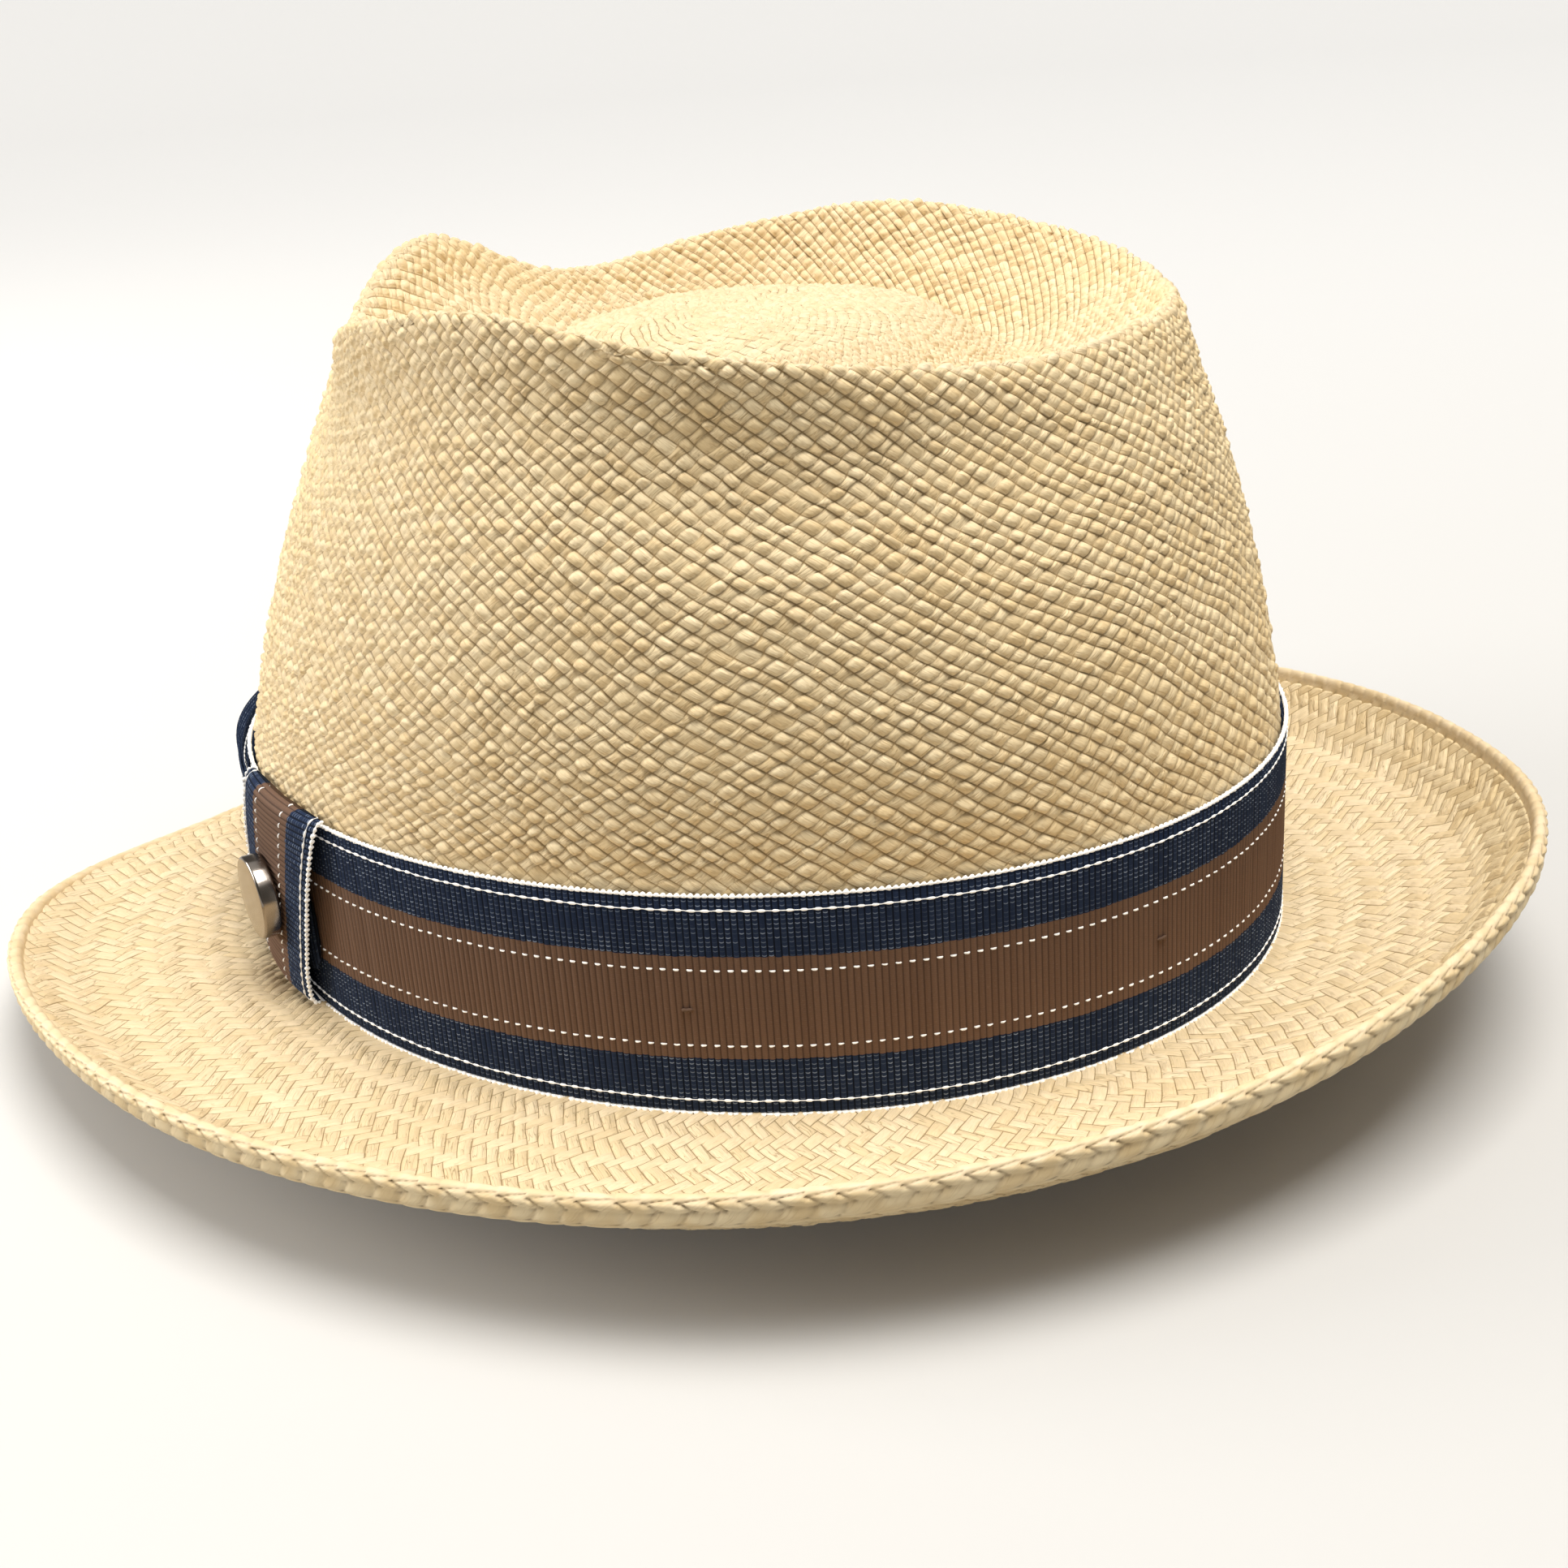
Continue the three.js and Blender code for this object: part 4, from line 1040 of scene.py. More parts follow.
def rim_lobes(degrees, lobe, wobble, count):
    """Relief and brightness of the braid over (lobe position, section angle); the brightness is
    painted shade in the seams between lobes and under the roll.
    """
    relief, shade = np.zeros_like(degrees), np.ones_like(degrees)
    # the roll's lower border is scalloped, one scallop to a lobe
    saw = (lobe + wobble) - np.floor(lobe + wobble)
    brow = 50.0 + 26.0 * saw**1.3
    for k, (high, low, slant, phase, deep) in enumerate(RIM_ROWS):
        high = brow if k == 1 else high
        low = brow if k == 0 else low
        on = (degrees <= high) & (degrees > low)
        x = (degrees - low) / (high - low)
        f = lobe - slant * x + phase + wobble
        r = hashed(np.floor(f).astype(int) % count, seed=91 + k)
        fx = np.clip(f - np.floor(f), 0, 1)
        arch = np.clip(np.sin(np.pi * fx ** (0.55 + 0.25 * r)), 0, 1)
        ridge = np.clip(np.sin(np.pi * np.clip(x, 0, 1)), 0, 1)
        barrel = ridge**0.55 if k else 0.35 + 0.65 * ridge**0.8
        relief = np.where(on, deep * (0.7 + 0.6 * r) * (arch**0.5 * barrel - 0.6), relief)
        # painted shade in the seams between lobes and along the rows' borders
        seam = 1 - np.clip(arch * 1.7, 0, 1)
        border = 1 - np.clip(ridge * 1.5, 0, 1)
        if k == 0:
            dark = 0.14 * seam
        elif k == 1:
            # painted shadow under the roll, deepest below each scallop
            under = np.clip((x - 0.62) / 0.38, 0, 1) * (0.25 + 0.75 * saw)
            dark = np.maximum(0.18 * seam + 0.70 * seam * border, 0.50 * under)
        else:
            dark = (0.14 if k == 2 else 0.10) * seam
            dark = dark + 0.80 * seam * border * (r > 0.25) + 0.10 * border
        shade = np.where(on, 1 - np.clip(dark, 0, 1), shade)
    return relief, shade


def rim():
    """The brim's lip: a smooth roll on top, and slanted lobes down its face."""
    fine_phi = np.arange(0, 360, 0.1)
    line = on_brim(fine_phi, 1.0)
    arc = np.concatenate([[0], np.cumsum(np.linalg.norm(np.roll(line, -1, 0) - line, axis=1))])
    length = arc[-1]
    count = int(round(length / LOBE_PITCH))
    ns = count * LOBE_STEPS
    s = np.arange(ns) * length / ns
    phi = np.interp(s, arc, np.concatenate([fine_phi, [360.0]]))
    width = brim_w(phi)
    nx, ny = oval_normal(phi)
    edge = on_brim(phi, (width - SHEET_SHORT) / width)
    slope = (brim_z(phi, 1.0) - brim_z(phi, 0.96)) / (0.04 * width)
    steep = np.clip(slope, 0, 1)
    tilt = np.arctan(slope)
    # middle of the lip, from the sheet's edge; it stands nearly upright even where the brim curls
    mid_out = -0.2 * np.cos(tilt) + 1.1 * np.sin(tilt) + 0.30 * steep
    mid_up = -0.2 * np.sin(tilt) - 1.1 * np.cos(tilt) + 0.70 * steep
    tip = np.where(slope > 0, 0.22, 1.0) * tilt - math.radians(20) * steep
    cos, sin = np.cos(tip), np.sin(tip)
    outwards = np.stack([nx * cos, ny * cos, sin], -1)
    upwards = np.stack([-nx * sin, -ny * sin, cos], -1)
    middle = edge + np.stack([nx * mid_out, ny * mid_out, mid_up], -1)
    section = np.concatenate([np.linspace(165, -78, 39), np.linspace(-78, -195, 9)[1:-1]])
    degrees = section[None, :] + 0 * s[:, None]
    drift = np.random.default_rng(77).normal(0, 1, count + 1)
    wobble = 0.10 * np.interp(s, np.linspace(0, length, count + 1), drift)[:, None]
    relief, shade = rim_lobes(degrees, s[:, None] / (length / count), wobble, count)
    half_width, half_height = 1.50 - 0.25 * steep, 1.72 + 1.00 * steep
    turn = np.radians(section)[None, :]
    # a squarish oval
    ca, sa = (np.sign(q) * np.abs(q) ** 0.78 for q in (np.cos(turn), np.sin(turn)))
    a = (half_width[:, None] + relief) * ca
    z = (half_height[:, None] + relief * 0.6) * sa
    points = middle[:, None] + outwards[:, None] * a[..., None] + upwards[:, None] * z[..., None]
    girth = np.abs(np.diff(np.concatenate([section, [165 - 360]])))
    girth = np.concatenate([[0], np.cumsum(girth)]) / 360 * RIM_GIRTH
    ob = grid_mesh("rim_woven", points, rim_material(), ring=True, bake_rows=8,
                   uv=uv_grid(np.concatenate([s, [length]]), girth))
    # depth carries the painted shade from rim_lobes; up gives the roll's upper side the paler
    # sky-facing palette, painted light
    add_floats(ob.data, "POINT", {
        "depth": np.clip(shade, 0, 1).ravel(),
        "up": np.clip((degrees - 30) / 40, 0, 1).ravel(),
    })
    declare(ob, "rim_braid")


rim()

# ------------------------------------------------------------------ ribbon and yarn
WHITE = white_yarn_material()
RIBBON_MATERIAL = grosgrain_material("ribbon", striped=True)
YARN_PLACES = (2.35, 12.15, 25.3, 35.55)  # across a ribbon 37.7 wide; the middle two in brown
# A yarn in the navy, and in the brown: share of the pitch that shows, radius on top and between,
# how far it sinks, and how far it stands above the ribs.
NAVY_YARN = dict(duty=0.50, fat=0.26, thin=0.08, sink=0.0, lift=0.02)
BROWN_YARN = dict(duty=0.46, fat=0.20, thin=0.03, sink=0.30, lift=0.0)


def tube(name, place, s, w, out, radius, flat, turn_mm):
    """A white thread along a strip. flat squashes it outwards; turn_mm is its girth on the map."""
    nudge, sides = 0.05, 6
    middle = place(s, w, out)
    across, outwards = place(s, w + nudge, out) - middle, place(s, w, out + nudge) - middle
    across /= np.linalg.norm(across, axis=-1, keepdims=True)
    outwards /= np.linalg.norm(outwards, axis=-1, keepdims=True)
    turn = (np.arange(sides) / sides * 2 * np.pi)[None, :, None]
    section = across[:, None] * np.cos(turn) + outwards[:, None] * (np.sin(turn) * flat)
    points = middle[:, None] + section * radius[:, None, None]
    uv = uv_grid(s, np.arange(sides + 1) / sides * turn_mm)
    return grid_mesh(name, points, WHITE, uv=uv, bake_rows=8)


def yarn(name, place, w, out, s0, s1, phase, seed, duty, fat, thin, sink, lift):
    """A yarn that shows as a row of dashes: fat where it floats over, thin where it dives."""
    pitch, steps = 2 * RIB, 7
    n = max(2, int(round((s1 - s0) / pitch * steps)))
    s = s0 + (s1 - s0) * np.arange(n + 1) / n
    cell = np.floor((s + phase) / pitch).astype(int)
    x = ((s + phase) / pitch) % 1.0
    r1, r2 = hashed(cell, seed=seed), hashed(cell, seed=seed + 1)
    off_middle = np.abs(x - 0.5) / (duty / 2 * (0.9 + 0.2 * r2))
    body = np.clip(1 - off_middle**4, 0, 1) ** 0.5
    radius = thin + (fat * (0.9 + 0.2 * r1) - thin) * body
    height = out + lift - sink * (1 - body)
    return tube(name, place, s, w + (r1 - 0.5) * 0.10, height, radius, flat=0.75, turn_mm=1.5)


def picot(name, place, w, side, out, s0, s1, seed):
    """The ribbon's white selvedge: a cord of small round loops, swung out to its side."""
    fat, thin, swing, steps = 0.40, 0.13, 0.16, 7
    n = int(round((s1 - s0) / RIB * steps))
    s = s0 + (s1 - s0) * np.arange(n + 1) / n
    cell = np.floor(s / RIB).astype(int)
    body = np.abs(np.sin(np.pi * ((s / RIB) % 1.0) ** 1.5)) ** 0.8
    size = fat * (0.85 + 0.3 * hashed(cell, seed=seed)) * (1.0 + 0.16 * (cell % 2))
    radius = thin + (size - thin) * body
    return tube(name, place, s, w + side * swing * body, np.full_like(s, out), radius,
                flat=1.0, turn_mm=2.0)


def ribbon(name, place, length, thick, mat, relief, bake_rows, start=0.0, width=RIBBON_W,
           steps=6, across=12, rib=RIB):
    """Grosgrain: a closed strip whose front is thrown into ribs across its width. steps is
    sections per rib, across the points over the front."""
    s0, s1 = start, start + length
    n = max(4, int(round((s1 - s0) / rib * steps)))
    s = s0 + (s1 - s0) * np.arange(n + 1) / n
    swell = 0.8 + 0.4 * hashed(np.floor(s / rib + 1e-6).astype(int), seed=17)
    ribs = relief * swell * np.abs(np.sin(np.pi * ((s / rib) % 1.0))) ** 0.65
    middle = np.linspace(0.5, width - 0.5, across)
    front_w = np.concatenate([[0.0, 0.12], middle, [width - 0.12, width]])
    back_w = np.linspace(width, 0, 5)[1:-1]
    edge = np.clip(np.minimum(front_w, width - front_w) / 0.35, 0, 1) ** 0.5
    front = thick * 0.5 + (thick * 0.5 + ribs[:, None] - relief * 0.5) * edge[None, :]
    along = s[:, None]
    points = np.concatenate([
        place(along + 0 * front_w, front_w + 0 * along, front),
        place(along + 0 * back_w, back_w + 0 * along, 0 * along + 0 * back_w),
    ], 1)
    uv = uv_grid(s, np.concatenate([front_w, back_w, [0.0]]))
    return grid_mesh(name, points, mat, uv=uv, bake_rows=bake_rows)


def dressed(prefix, replaced, place, length, thick, slot="ribbon", start=0.0, width=RIBBON_W,
            relief=0.24, picots=False, **ribbon_sizes):
    """Striped ribbon with its woven-in white yarns and, if asked for, picot edges."""
    ob = ribbon(prefix + "_ribbon", place, length, thick, RIBBON_MATERIAL, relief,
                start=start, width=width, **ribbon_sizes)
    declare(ob, replaced)
    end = start + length
    for k, w in enumerate(YARN_PLACES):
        ob = yarn("%s_yarn_%d" % (prefix, k + 1), place, w * width / 37.7, thick + relief * 0.5,
                  start + 0.05, end - 0.05, phase=RIB * (0.5 + k % 2), seed=40 + k,
                  **(BROWN_YARN if k in (1, 2) else NAVY_YARN))
        declare(ob, replaced)
    for k, (side, w) in enumerate(((-1, -0.12), (1, width + 0.12)) if picots else ()):
        ob = picot("%s_picot_%d" % (prefix, k + 1), place, w, side, thick * 0.9,
                   start + 0.02, end - 0.02, seed=60 + k)
        declare(ob, replaced)


def arc_length(path):
    return np.concatenate([[0], np.cumsum(np.linalg.norm(np.diff(path, axis=0), axis=1))])


def beside_path(distance, path, normals, thick):
    """A function of (s, out) for a strip of this thickness centred on a path in a plane."""

    def at(s, out):
        return [
            np.interp(s, distance, path[:, c])
            + np.interp(s, distance, normals[:, c]) * (out - thick / 2)
            for c in range(2)
        ]

    return at


def folded_loop(along, front, back, thick, end_steps, end_reach):
    """A flattened loop of ribbon, along its front (distances out), round the end and back.
    Returns a function of (s, out) for (distance along, distance out), and the length.
    end_reach is the end's length over its half thickness."""
    half = (front[-1] - back[-1]) / 2
    turn = np.linspace(0, math.pi, end_steps)[1:-1]
    reach = np.sign(along[-1] - along[0]) * abs(half) * end_reach
    end = np.stack([along[-1] + np.sin(turn) * reach, back[-1] + half + np.cos(turn) * half], -1)
    back_path = np.stack([along, back], -1)[::-1]
    path = np.concatenate([np.stack([along, front], -1), end, back_path])
    distance = arc_length(path)
    run = np.gradient(path, axis=0)
    run /= np.linalg.norm(run, axis=1, keepdims=True)
    normals = np.stack([-run[:, 1], run[:, 0]], -1)
    if normals[5, 1] * half < 0:
        normals = -normals
    return beside_path(distance, path, normals, thick), float(distance[-1])


# ------------------------------------------------------------------ hatband
BAND_SEAM, BAND_OUT, SEAM_GAP = 46.0, 0.38, 0.45


def hatband():
    """Goes all the way round; its ends meet under the bow with a small gap."""
    phi = np.linspace(BAND_SEAM, BAND_SEAM + 360, 7201)
    arc = arc_length(on_wall(phi, 1.0, 20.0))

    def place(s, w, out):
        return on_wall(np.interp(s, arc, phi), BAND_OUT + out, BAND_Z0 + w)

    dressed("band", "hatband", place, float(arc[-1]) - 2 * SEAM_GAP, start=SEAM_GAP, thick=0.66,
            width=BAND_W, picots=True, bake_rows=4)


hatband()

# ------------------------------------------------------------------ bow
KNOT_RATE = mm_per_degree(KNOT_PHI)
KNOT_T = 0.72
# Middle line of the knot's ribbon, bottom hem up and over: (distance from the wall, height)
KNOT_LINE = np.array([
    (1.7, 1.15), (3.0, 0.95), (3.85, 1.9), (4.02, 4.5), (4.12, 9.0), (4.15, 14.0), (4.15, 19.5),
    (4.12, 25.0), (4.02, 30.0), (3.92, 35.0), (3.75, 38.0), (3.25, 39.3), (2.3, 39.75),
    (1.2, 39.6),
])
# The loop and tail lie forward of the knot: mm along the wall from the knot's middle.
LOOP_START, LOOP_END = -KNOT_W / 2 + 9.6, -KNOT_W / 2 - 49.5
LOOP_BASE, LOOP_T = 1.5 + 0.85, 0.40
TAIL_PAST_LOOP = 5.8
# the dark pad of painted shade under the knot's rear edge: its start and length along the wall, and
# the height of its middle
SHADOW_PAD_START, SHADOW_PAD_LEN, SHADOW_PAD_Z = 6.6, 7.6, 16.5


def knot():
    """Ribbon wrapped upright over the band."""
    arc = arc_length(KNOT_LINE)
    s_line = np.linspace(0, arc[-1], 400)
    kernel = np.hanning(25)
    kernel /= kernel.sum()
    path = np.stack([
        np.convolve(np.pad(np.interp(s_line, arc, KNOT_LINE[:, c]), 12, mode="edge"), kernel, "valid")
        for c in range(2)
    ], -1)
    run = np.gradient(path, axis=0)
    run /= np.linalg.norm(run, axis=1, keepdims=True)
    at = beside_path(s_line, path, np.stack([run[:, 1], -run[:, 0]], -1), KNOT_T)

    def place(s, w, out):
        off_wall, z = at(s, out)
        mm = (w / RIBBON_W - 0.5) * KNOT_W
        # the hems draw in a little towards the band at both selvedges
        drawn = np.clip(np.abs(mm) / (KNOT_W / 2), 0, 1) ** 3
        hem = np.clip(1 - z / 9.0, 0, 1) ** 1.5 + np.clip((z - 27.0) / 13.0, 0, 1) ** 1.5
        off_wall = off_wall - 0.9 * drawn * hem * np.clip((off_wall - 1.9) / 2.0, 0, 1)
        return on_wall(KNOT_PHI + mm / KNOT_RATE + KNOT_LEAN * (z - KNOT_Z), off_wall, z)

    dressed("knot", "bow_knot", place, float(s_line[-1]), thick=KNOT_T, picots=True,
            bake_rows=1, across=16)


def bow_loop():
    t = np.linspace(0, 1, 300)
    fat = 0.85 + 1.4 * np.sin(math.pi * np.clip((t - 0.33) / 0.67, 0, 1) * 0.86)
    at, length = folded_loop(
        LOOP_START + (LOOP_END - LOOP_START) * t, LOOP_BASE + fat - LOOP_T / 2,
        LOOP_BASE + LOOP_T / 2 + 0 * t, LOOP_T, end_steps=24, end_reach=1.4,
    )

    def place(s, w, out):
        mm, off_wall = at(s, out)
        share = np.clip((mm - LOOP_START) / (LOOP_END - LOOP_START), 0, 1)
        low, high = 2.6 + 2.2 * (1 - share) ** 3, 38.0 + 1.2 * share
        return on_wall(KNOT_PHI + mm / KNOT_RATE, off_wall, low + (high - low) * w / RIBBON_W)

    dressed("loop", "bow_loop", place, length, thick=0.38, slot="ribbon_navy", relief=0.10,
            bake_rows=2, steps=5)


def bow_tail():
    """A flat end behind the loop, reaching a little farther forward."""

    def place(s, w, out):
        phi = KNOT_PHI + (LOOP_START - s) / KNOT_RATE
        return on_wall(phi, 1.52 + out, 3.2 + w * 34.0 / RIBBON_W)

    dressed("tail", "bow_tail", place, LOOP_START - (LOOP_END - TAIL_PAST_LOOP), thick=0.40,
            slot="ribbon_navy", relief=0.08, bake_rows=1, steps=5, across=8)


def inner_fold():
    """A rounded dark navy pad between the band and the knot's rear edge: painted shade, standing in
    for the shadowed hollow under the knot's raised edge.
    """

    def place(s, w, out):
        share = s / SHADOW_PAD_LEN
        half = 9.0 * np.interp(share, [0, 0.25, 0.5, 0.75, 1.0], [0.62, 0.9, 1.0, 0.93, 0.62])
        y = (w / RIBBON_W - 0.5) * 2
        along_puff = np.sin(np.pi * np.clip(share * 0.8 + 0.2, 0, 1))
        puff = 0.75 * np.sqrt(np.clip(1 - y * y, 0, 1)) * along_puff
        off_wall = 1.55 + out + np.where(out > 0.2, puff, 0.0)
        return on_wall(KNOT_PHI + (SHADOW_PAD_START + s) / KNOT_RATE, off_wall, SHADOW_PAD_Z + half * y)

    ob = ribbon("inner_fold", place, SHADOW_PAD_LEN, 0.5, grosgrain_material("ribbon_shadow_pad", striped=False),
                relief=0.08, bake_rows=1, across=26)
    declare(ob, "bow_inner_fold")


knot()
bow_loop()
bow_tail()
inner_fold()

# ------------------------------------------------------------------ pin
PIN_R, PIN_T, PIN_BACK = 7.75, 3.2, 4.85  # disc radius, thickness, and its back from the wall
PIN_FACE = PIN_BACK + PIN_T
PIN_AXIS = np.array([*oval_normal(KNOT_PHI), 0.0])
PIN_FOOT = on_wall(KNOT_PHI, 0.0, KNOT_Z)
# Profiles: (radius, distance out from the wall)
DISC_PROFILE = [
    (0, PIN_BACK), (PIN_R - 0.05, PIN_BACK), (PIN_R, PIN_BACK + 0.3), (PIN_R, PIN_FACE - 0.32),
    (PIN_R - 0.32, PIN_FACE - 0.02), (PIN_R * 0.6, PIN_FACE + 0.05), (0, PIN_FACE + 0.08),
]
SHANK_PROFILE = [
    (0, 1.7), (0.22, 1.7), (0.6, 2.4), (0.6, PIN_BACK - 0.5), (0.72, PIN_BACK - 0.35),
    (0.95, PIN_BACK - 0.03), (0, PIN_BACK - 0.03),
]
CATCH_PROFILE = [
    (0.68, 1.62), (2.4, 1.62), (2.62, 1.8), (2.98, 1.98), (2.98, 2.3), (2.55, 2.5), (1.7, 2.62),
    (1.35, 3.14), (0.68, 3.14),
]


def round_profile(points, r, steps):
    """Rounds every inner corner of a profile."""
    out = [points[0]]
    for before, corner, after in zip(points, points[1:], points[2:]):
        a, p, b = (np.array(q, float) for q in (before, corner, after))
        la, lb = np.linalg.norm(a - p), np.linalg.norm(b - p)
        cut = min(r, la * 0.45, lb * 0.45)
        u, v = p + (a - p) / la * cut, p + (b - p) / lb * cut
        for t in np.linspace(0, 1, steps):
            out.append(tuple((1 - t) ** 2 * u + 2 * t * (1 - t) * p + t * t * v))
    return out + [points[-1]]


def turned(name, profile, mat, segments):
    """A piece turned about the pin's axis: solid if its profile ends on the axis, else a ring."""
    profile = np.array(profile, float)
    solid = profile[0, 0] == 0
    turn = (np.arange(segments) / segments * 2 * np.pi)[:, None]
    side = np.array([-PIN_AXIS[1], PIN_AXIS[0], 0.0])
    spokes = np.cos(turn) * side + np.sin(turn) * np.array([0.0, 0.0, 1.0])
    points = PIN_FOOT + spokes[:, None] * profile[None, :, :1] + PIN_AXIS * profile[None, :, 1:]
    centres = np.zeros((0, 3))
    if solid:
        centres, points = points[0, [0, -1]], points[:, 1:-1]
    m = points.shape[1]
    i, j = np.meshgrid(np.arange(segments), np.arange(m - 1 if solid else m), indexing="ij")
    quads = np.stack([(i + di) % segments * m + (j + dj) % m for di, dj in QUAD_CORNERS], -1)
    faces = [quads.reshape(-1, 4)]
    if solid:
        here = np.arange(segments) * m
        ahead, centre = np.roll(here, -1), np.full(segments, segments * m)
        start = np.stack([here, centre, ahead], -1)
        end = np.stack([here + m - 1, ahead + m - 1, centre + 1], -1)
        faces.insert(0, np.concatenate([start, end]))
    points = np.concatenate([points.reshape(-1, 3), centres])
    return build(name, mat, points, *outward(points, faces))


def pin():
    gunmetal = metal_material("gunmetal", (0.30, 0.262, 0.228, 1), (0.235, 0.205, 0.180, 1),
                              rough=0.16)
    steel = metal_material("post_steel", (0.56, 0.56, 0.57, 1), (0.45, 0.45, 0.46, 1),
                           rough=0.30, brushed=0.1)
    brass = metal_material("clutch_brass", (0.62, 0.43, 0.18, 1), (0.48, 0.32, 0.12, 1),
                           rough=0.33, brushed=0.1)
    disc = turned("pin_disc", round_profile(DISC_PROFILE, r=0.30, steps=7), gunmetal, 160)
    declare(disc, "pin_button", body="pin")
    shank = turned("pin_shank", round_profile(SHANK_PROFILE, r=0.08, steps=4), steel, 32)
    declare(shank, "pin_post", body="pin")
    catch = turned("pin_catch", round_profile(CATCH_PROFILE, r=0.15, steps=4), brass, 64)
    declare(catch, "pin_clutch", body="clutch")


pin()

# ------------------------------------------------------------------ sweatband
STITCH_Z, STITCH_COUNT = 3.0, 176


def sweat_out(z):
    """The leather's back face, off the wall; it leans inwards towards its foot."""
    return -(STRAW + 0.45) - 2.0 * np.maximum(0, 1 - np.maximum(z, 0) / (SWEAT_H * 0.55))


def sweatband():
    n = 720
    phi = (np.arange(n) * 360.0 / n)[:, None]
    z = np.concatenate([
        [-0.6, -0.5], np.linspace(0.0, 2.4, 4), [2.75, 3.0, 3.25], np.linspace(4.0, 27.5, 14),
        [28.2, 28.45, 28.7, 28.95], [30.0, 31.2, 31.8, 32.0],
    ])
    # two pressed lines, rounded ends, and a little waviness
    dent = 0.16 * np.exp(-((z - STITCH_Z) / 0.35) ** 2) + 0.14 * np.exp(-((z - 28.55) / 0.28) ** 2)
    end = np.interp(z, [-0.6, -0.4, 31.6, 32.0], [0.35, 0.0, 0.0, 0.35])
    q = np.radians(phi)
    wave = (0.10 * np.sin(5 * q + 0.5) * np.sin(z * 0.16) + 0.06 * np.sin(13 * q + z * 0.13)
            + 0.03 * np.sin(41 * q - z * 0.3))
    head_side = on_wall(phi, sweat_out(z) - SWEAT_T + dent + end - np.abs(wave) * 0.6, z)
    wall_side = on_wall(phi, (sweat_out(z) - end * 0.6)[::-1], z[::-1])
    points = np.concatenate([head_side, wall_side], 1)
    ob = grid_mesh("sweatband_leather", points, leather_material(), ring=True, bake_rows=4)
    declare(ob, "sweatband")


def reed():
    """A round wire between the sweatband's foot and the wall."""
    n, sides = 480, 14
    phi = (np.arange(n) * 360.0 / n)[:, None]
    turn = (np.arange(sides) / sides * 2 * np.pi)[None]
    r = REED_R * (1 + 0.02 * np.sin(np.radians(phi) * 60))
    points = on_wall(phi, -(STRAW + 0.35 + REED_R) + r * np.cos(turn), 0.0)
    points[..., 2] = 0.6 + r * np.sin(turn)
    mat = speckled_material("reed", rough=0.4, spec=0.45, scale=160.0, detail=3.0, relief=0.1,
                            colours=((0.56, 0.51, 0.42, 1), (0.72, 0.67, 0.57, 1)))
    declare(grid_mesh("reed_wire", points, mat, ring=True, bake_rows=4), "sweatband_reed")


def stitches():
    """One row of separate stitches low on the sweatband."""
    sections, sides = 9, 6
    rng = np.random.default_rng(5)
    t = np.linspace(-1, 1, sections)[:, None]
    turn = (np.arange(sides) / sides * 2 * math.pi)[None] + t * 1.2
    r = 0.21 * np.sqrt(np.maximum(0.04, 1 - np.abs(t) ** 4))
    lift = 0.20 * (1 - np.abs(t) ** 3) - 0.10
    out = float(sweat_out(STITCH_Z)) - SWEAT_T - 0.22 - lift + r * np.cos(turn) * 0.9
    points = []
    for k in range(STITCH_COUNT):
        phi = k * 360.0 / STITCH_COUNT
        half = 1.22 + rng.uniform(-0.06, 0.06)
        z = STITCH_Z + rng.uniform(-0.05, 0.05) + 0.06 * t + r * np.sin(turn)
        points.append(on_wall(phi + half * t / mm_per_degree(phi), out, z).reshape(-1, 3))
    quads = [
        ((i * sides + j), i * sides + (j + 1) % sides,
         (i + 1) * sides + (j + 1) % sides, (i + 1) * sides + j)
        for i in range(sections - 1) for j in range(sides)
    ]
    last = (sections - 1) * sides
    quads += [(0, 5, 4, 3), (0, 3, 2, 1)]
    quads += [(last, last + 1, last + 2, last + 3), (last, last + 3, last + 4, last + 5)]
    first = (np.arange(STITCH_COUNT) * sections * sides)[:, None, None]
    quads = (np.array(quads)[None] + first).reshape(-1, 4)
    points = np.concatenate(points)
    mat = speckled_material("stitch_thread", rough=0.7, spec=0.35, scale=2200.0, detail=2.0,
                            relief=0.4, colours=((0.62, 0.55, 0.44, 1), (0.86, 0.80, 0.70, 1)))
    ob = build("stitch_row", mat, points, *outward(points, [quads]))
    declare(ob, "sweatband_stitch")


sweatband()
reed()
stitches()

# ------------------------------------------------------------------ bow at the back, inside
REAR_RATE = mm_per_degree(180.0)
REAR_RIB, REAR_W, REAR_T = 0.55, 8.0, 0.34
REAR_Z = 9.0
REAR_OUT = float(sweat_out(REAR_Z)) - SWEAT_T - 0.35 - 0.9
REAR_INNER, REAR_TIP = 3.05, 15.9  # ends of a loop, mm from the middle of the back
REAR_MATERIAL = rear_bow_material()


def rear_loop(name, replaced, start, end):
    t = np.linspace(0, 1, 60)
    at, length = folded_loop(
        start + (end - start) * t * 0.985, -(1.0 + 0.8 * np.sin(math.pi * t)) + REAR_T / 2,
        -REAR_T / 2 + 0 * t, REAR_T, end_steps=14, end_reach=0.55,
    )

    def place(s, w, out):
        mm, off = at(s, out)
        half = 2.2 + 1.9 * np.clip((mm - start) / (end - start), 0, 1)
        return on_wall(180 + mm / REAR_RATE, REAR_OUT + off, REAR_Z + half * (w / REAR_W * 2 - 1))

    ob = ribbon(name, place, length, REAR_T, REAR_MATERIAL, relief=0.06, bake_rows=1,
                width=REAR_W, steps=4, across=8, rib=REAR_RIB)
    declare(ob, replaced)


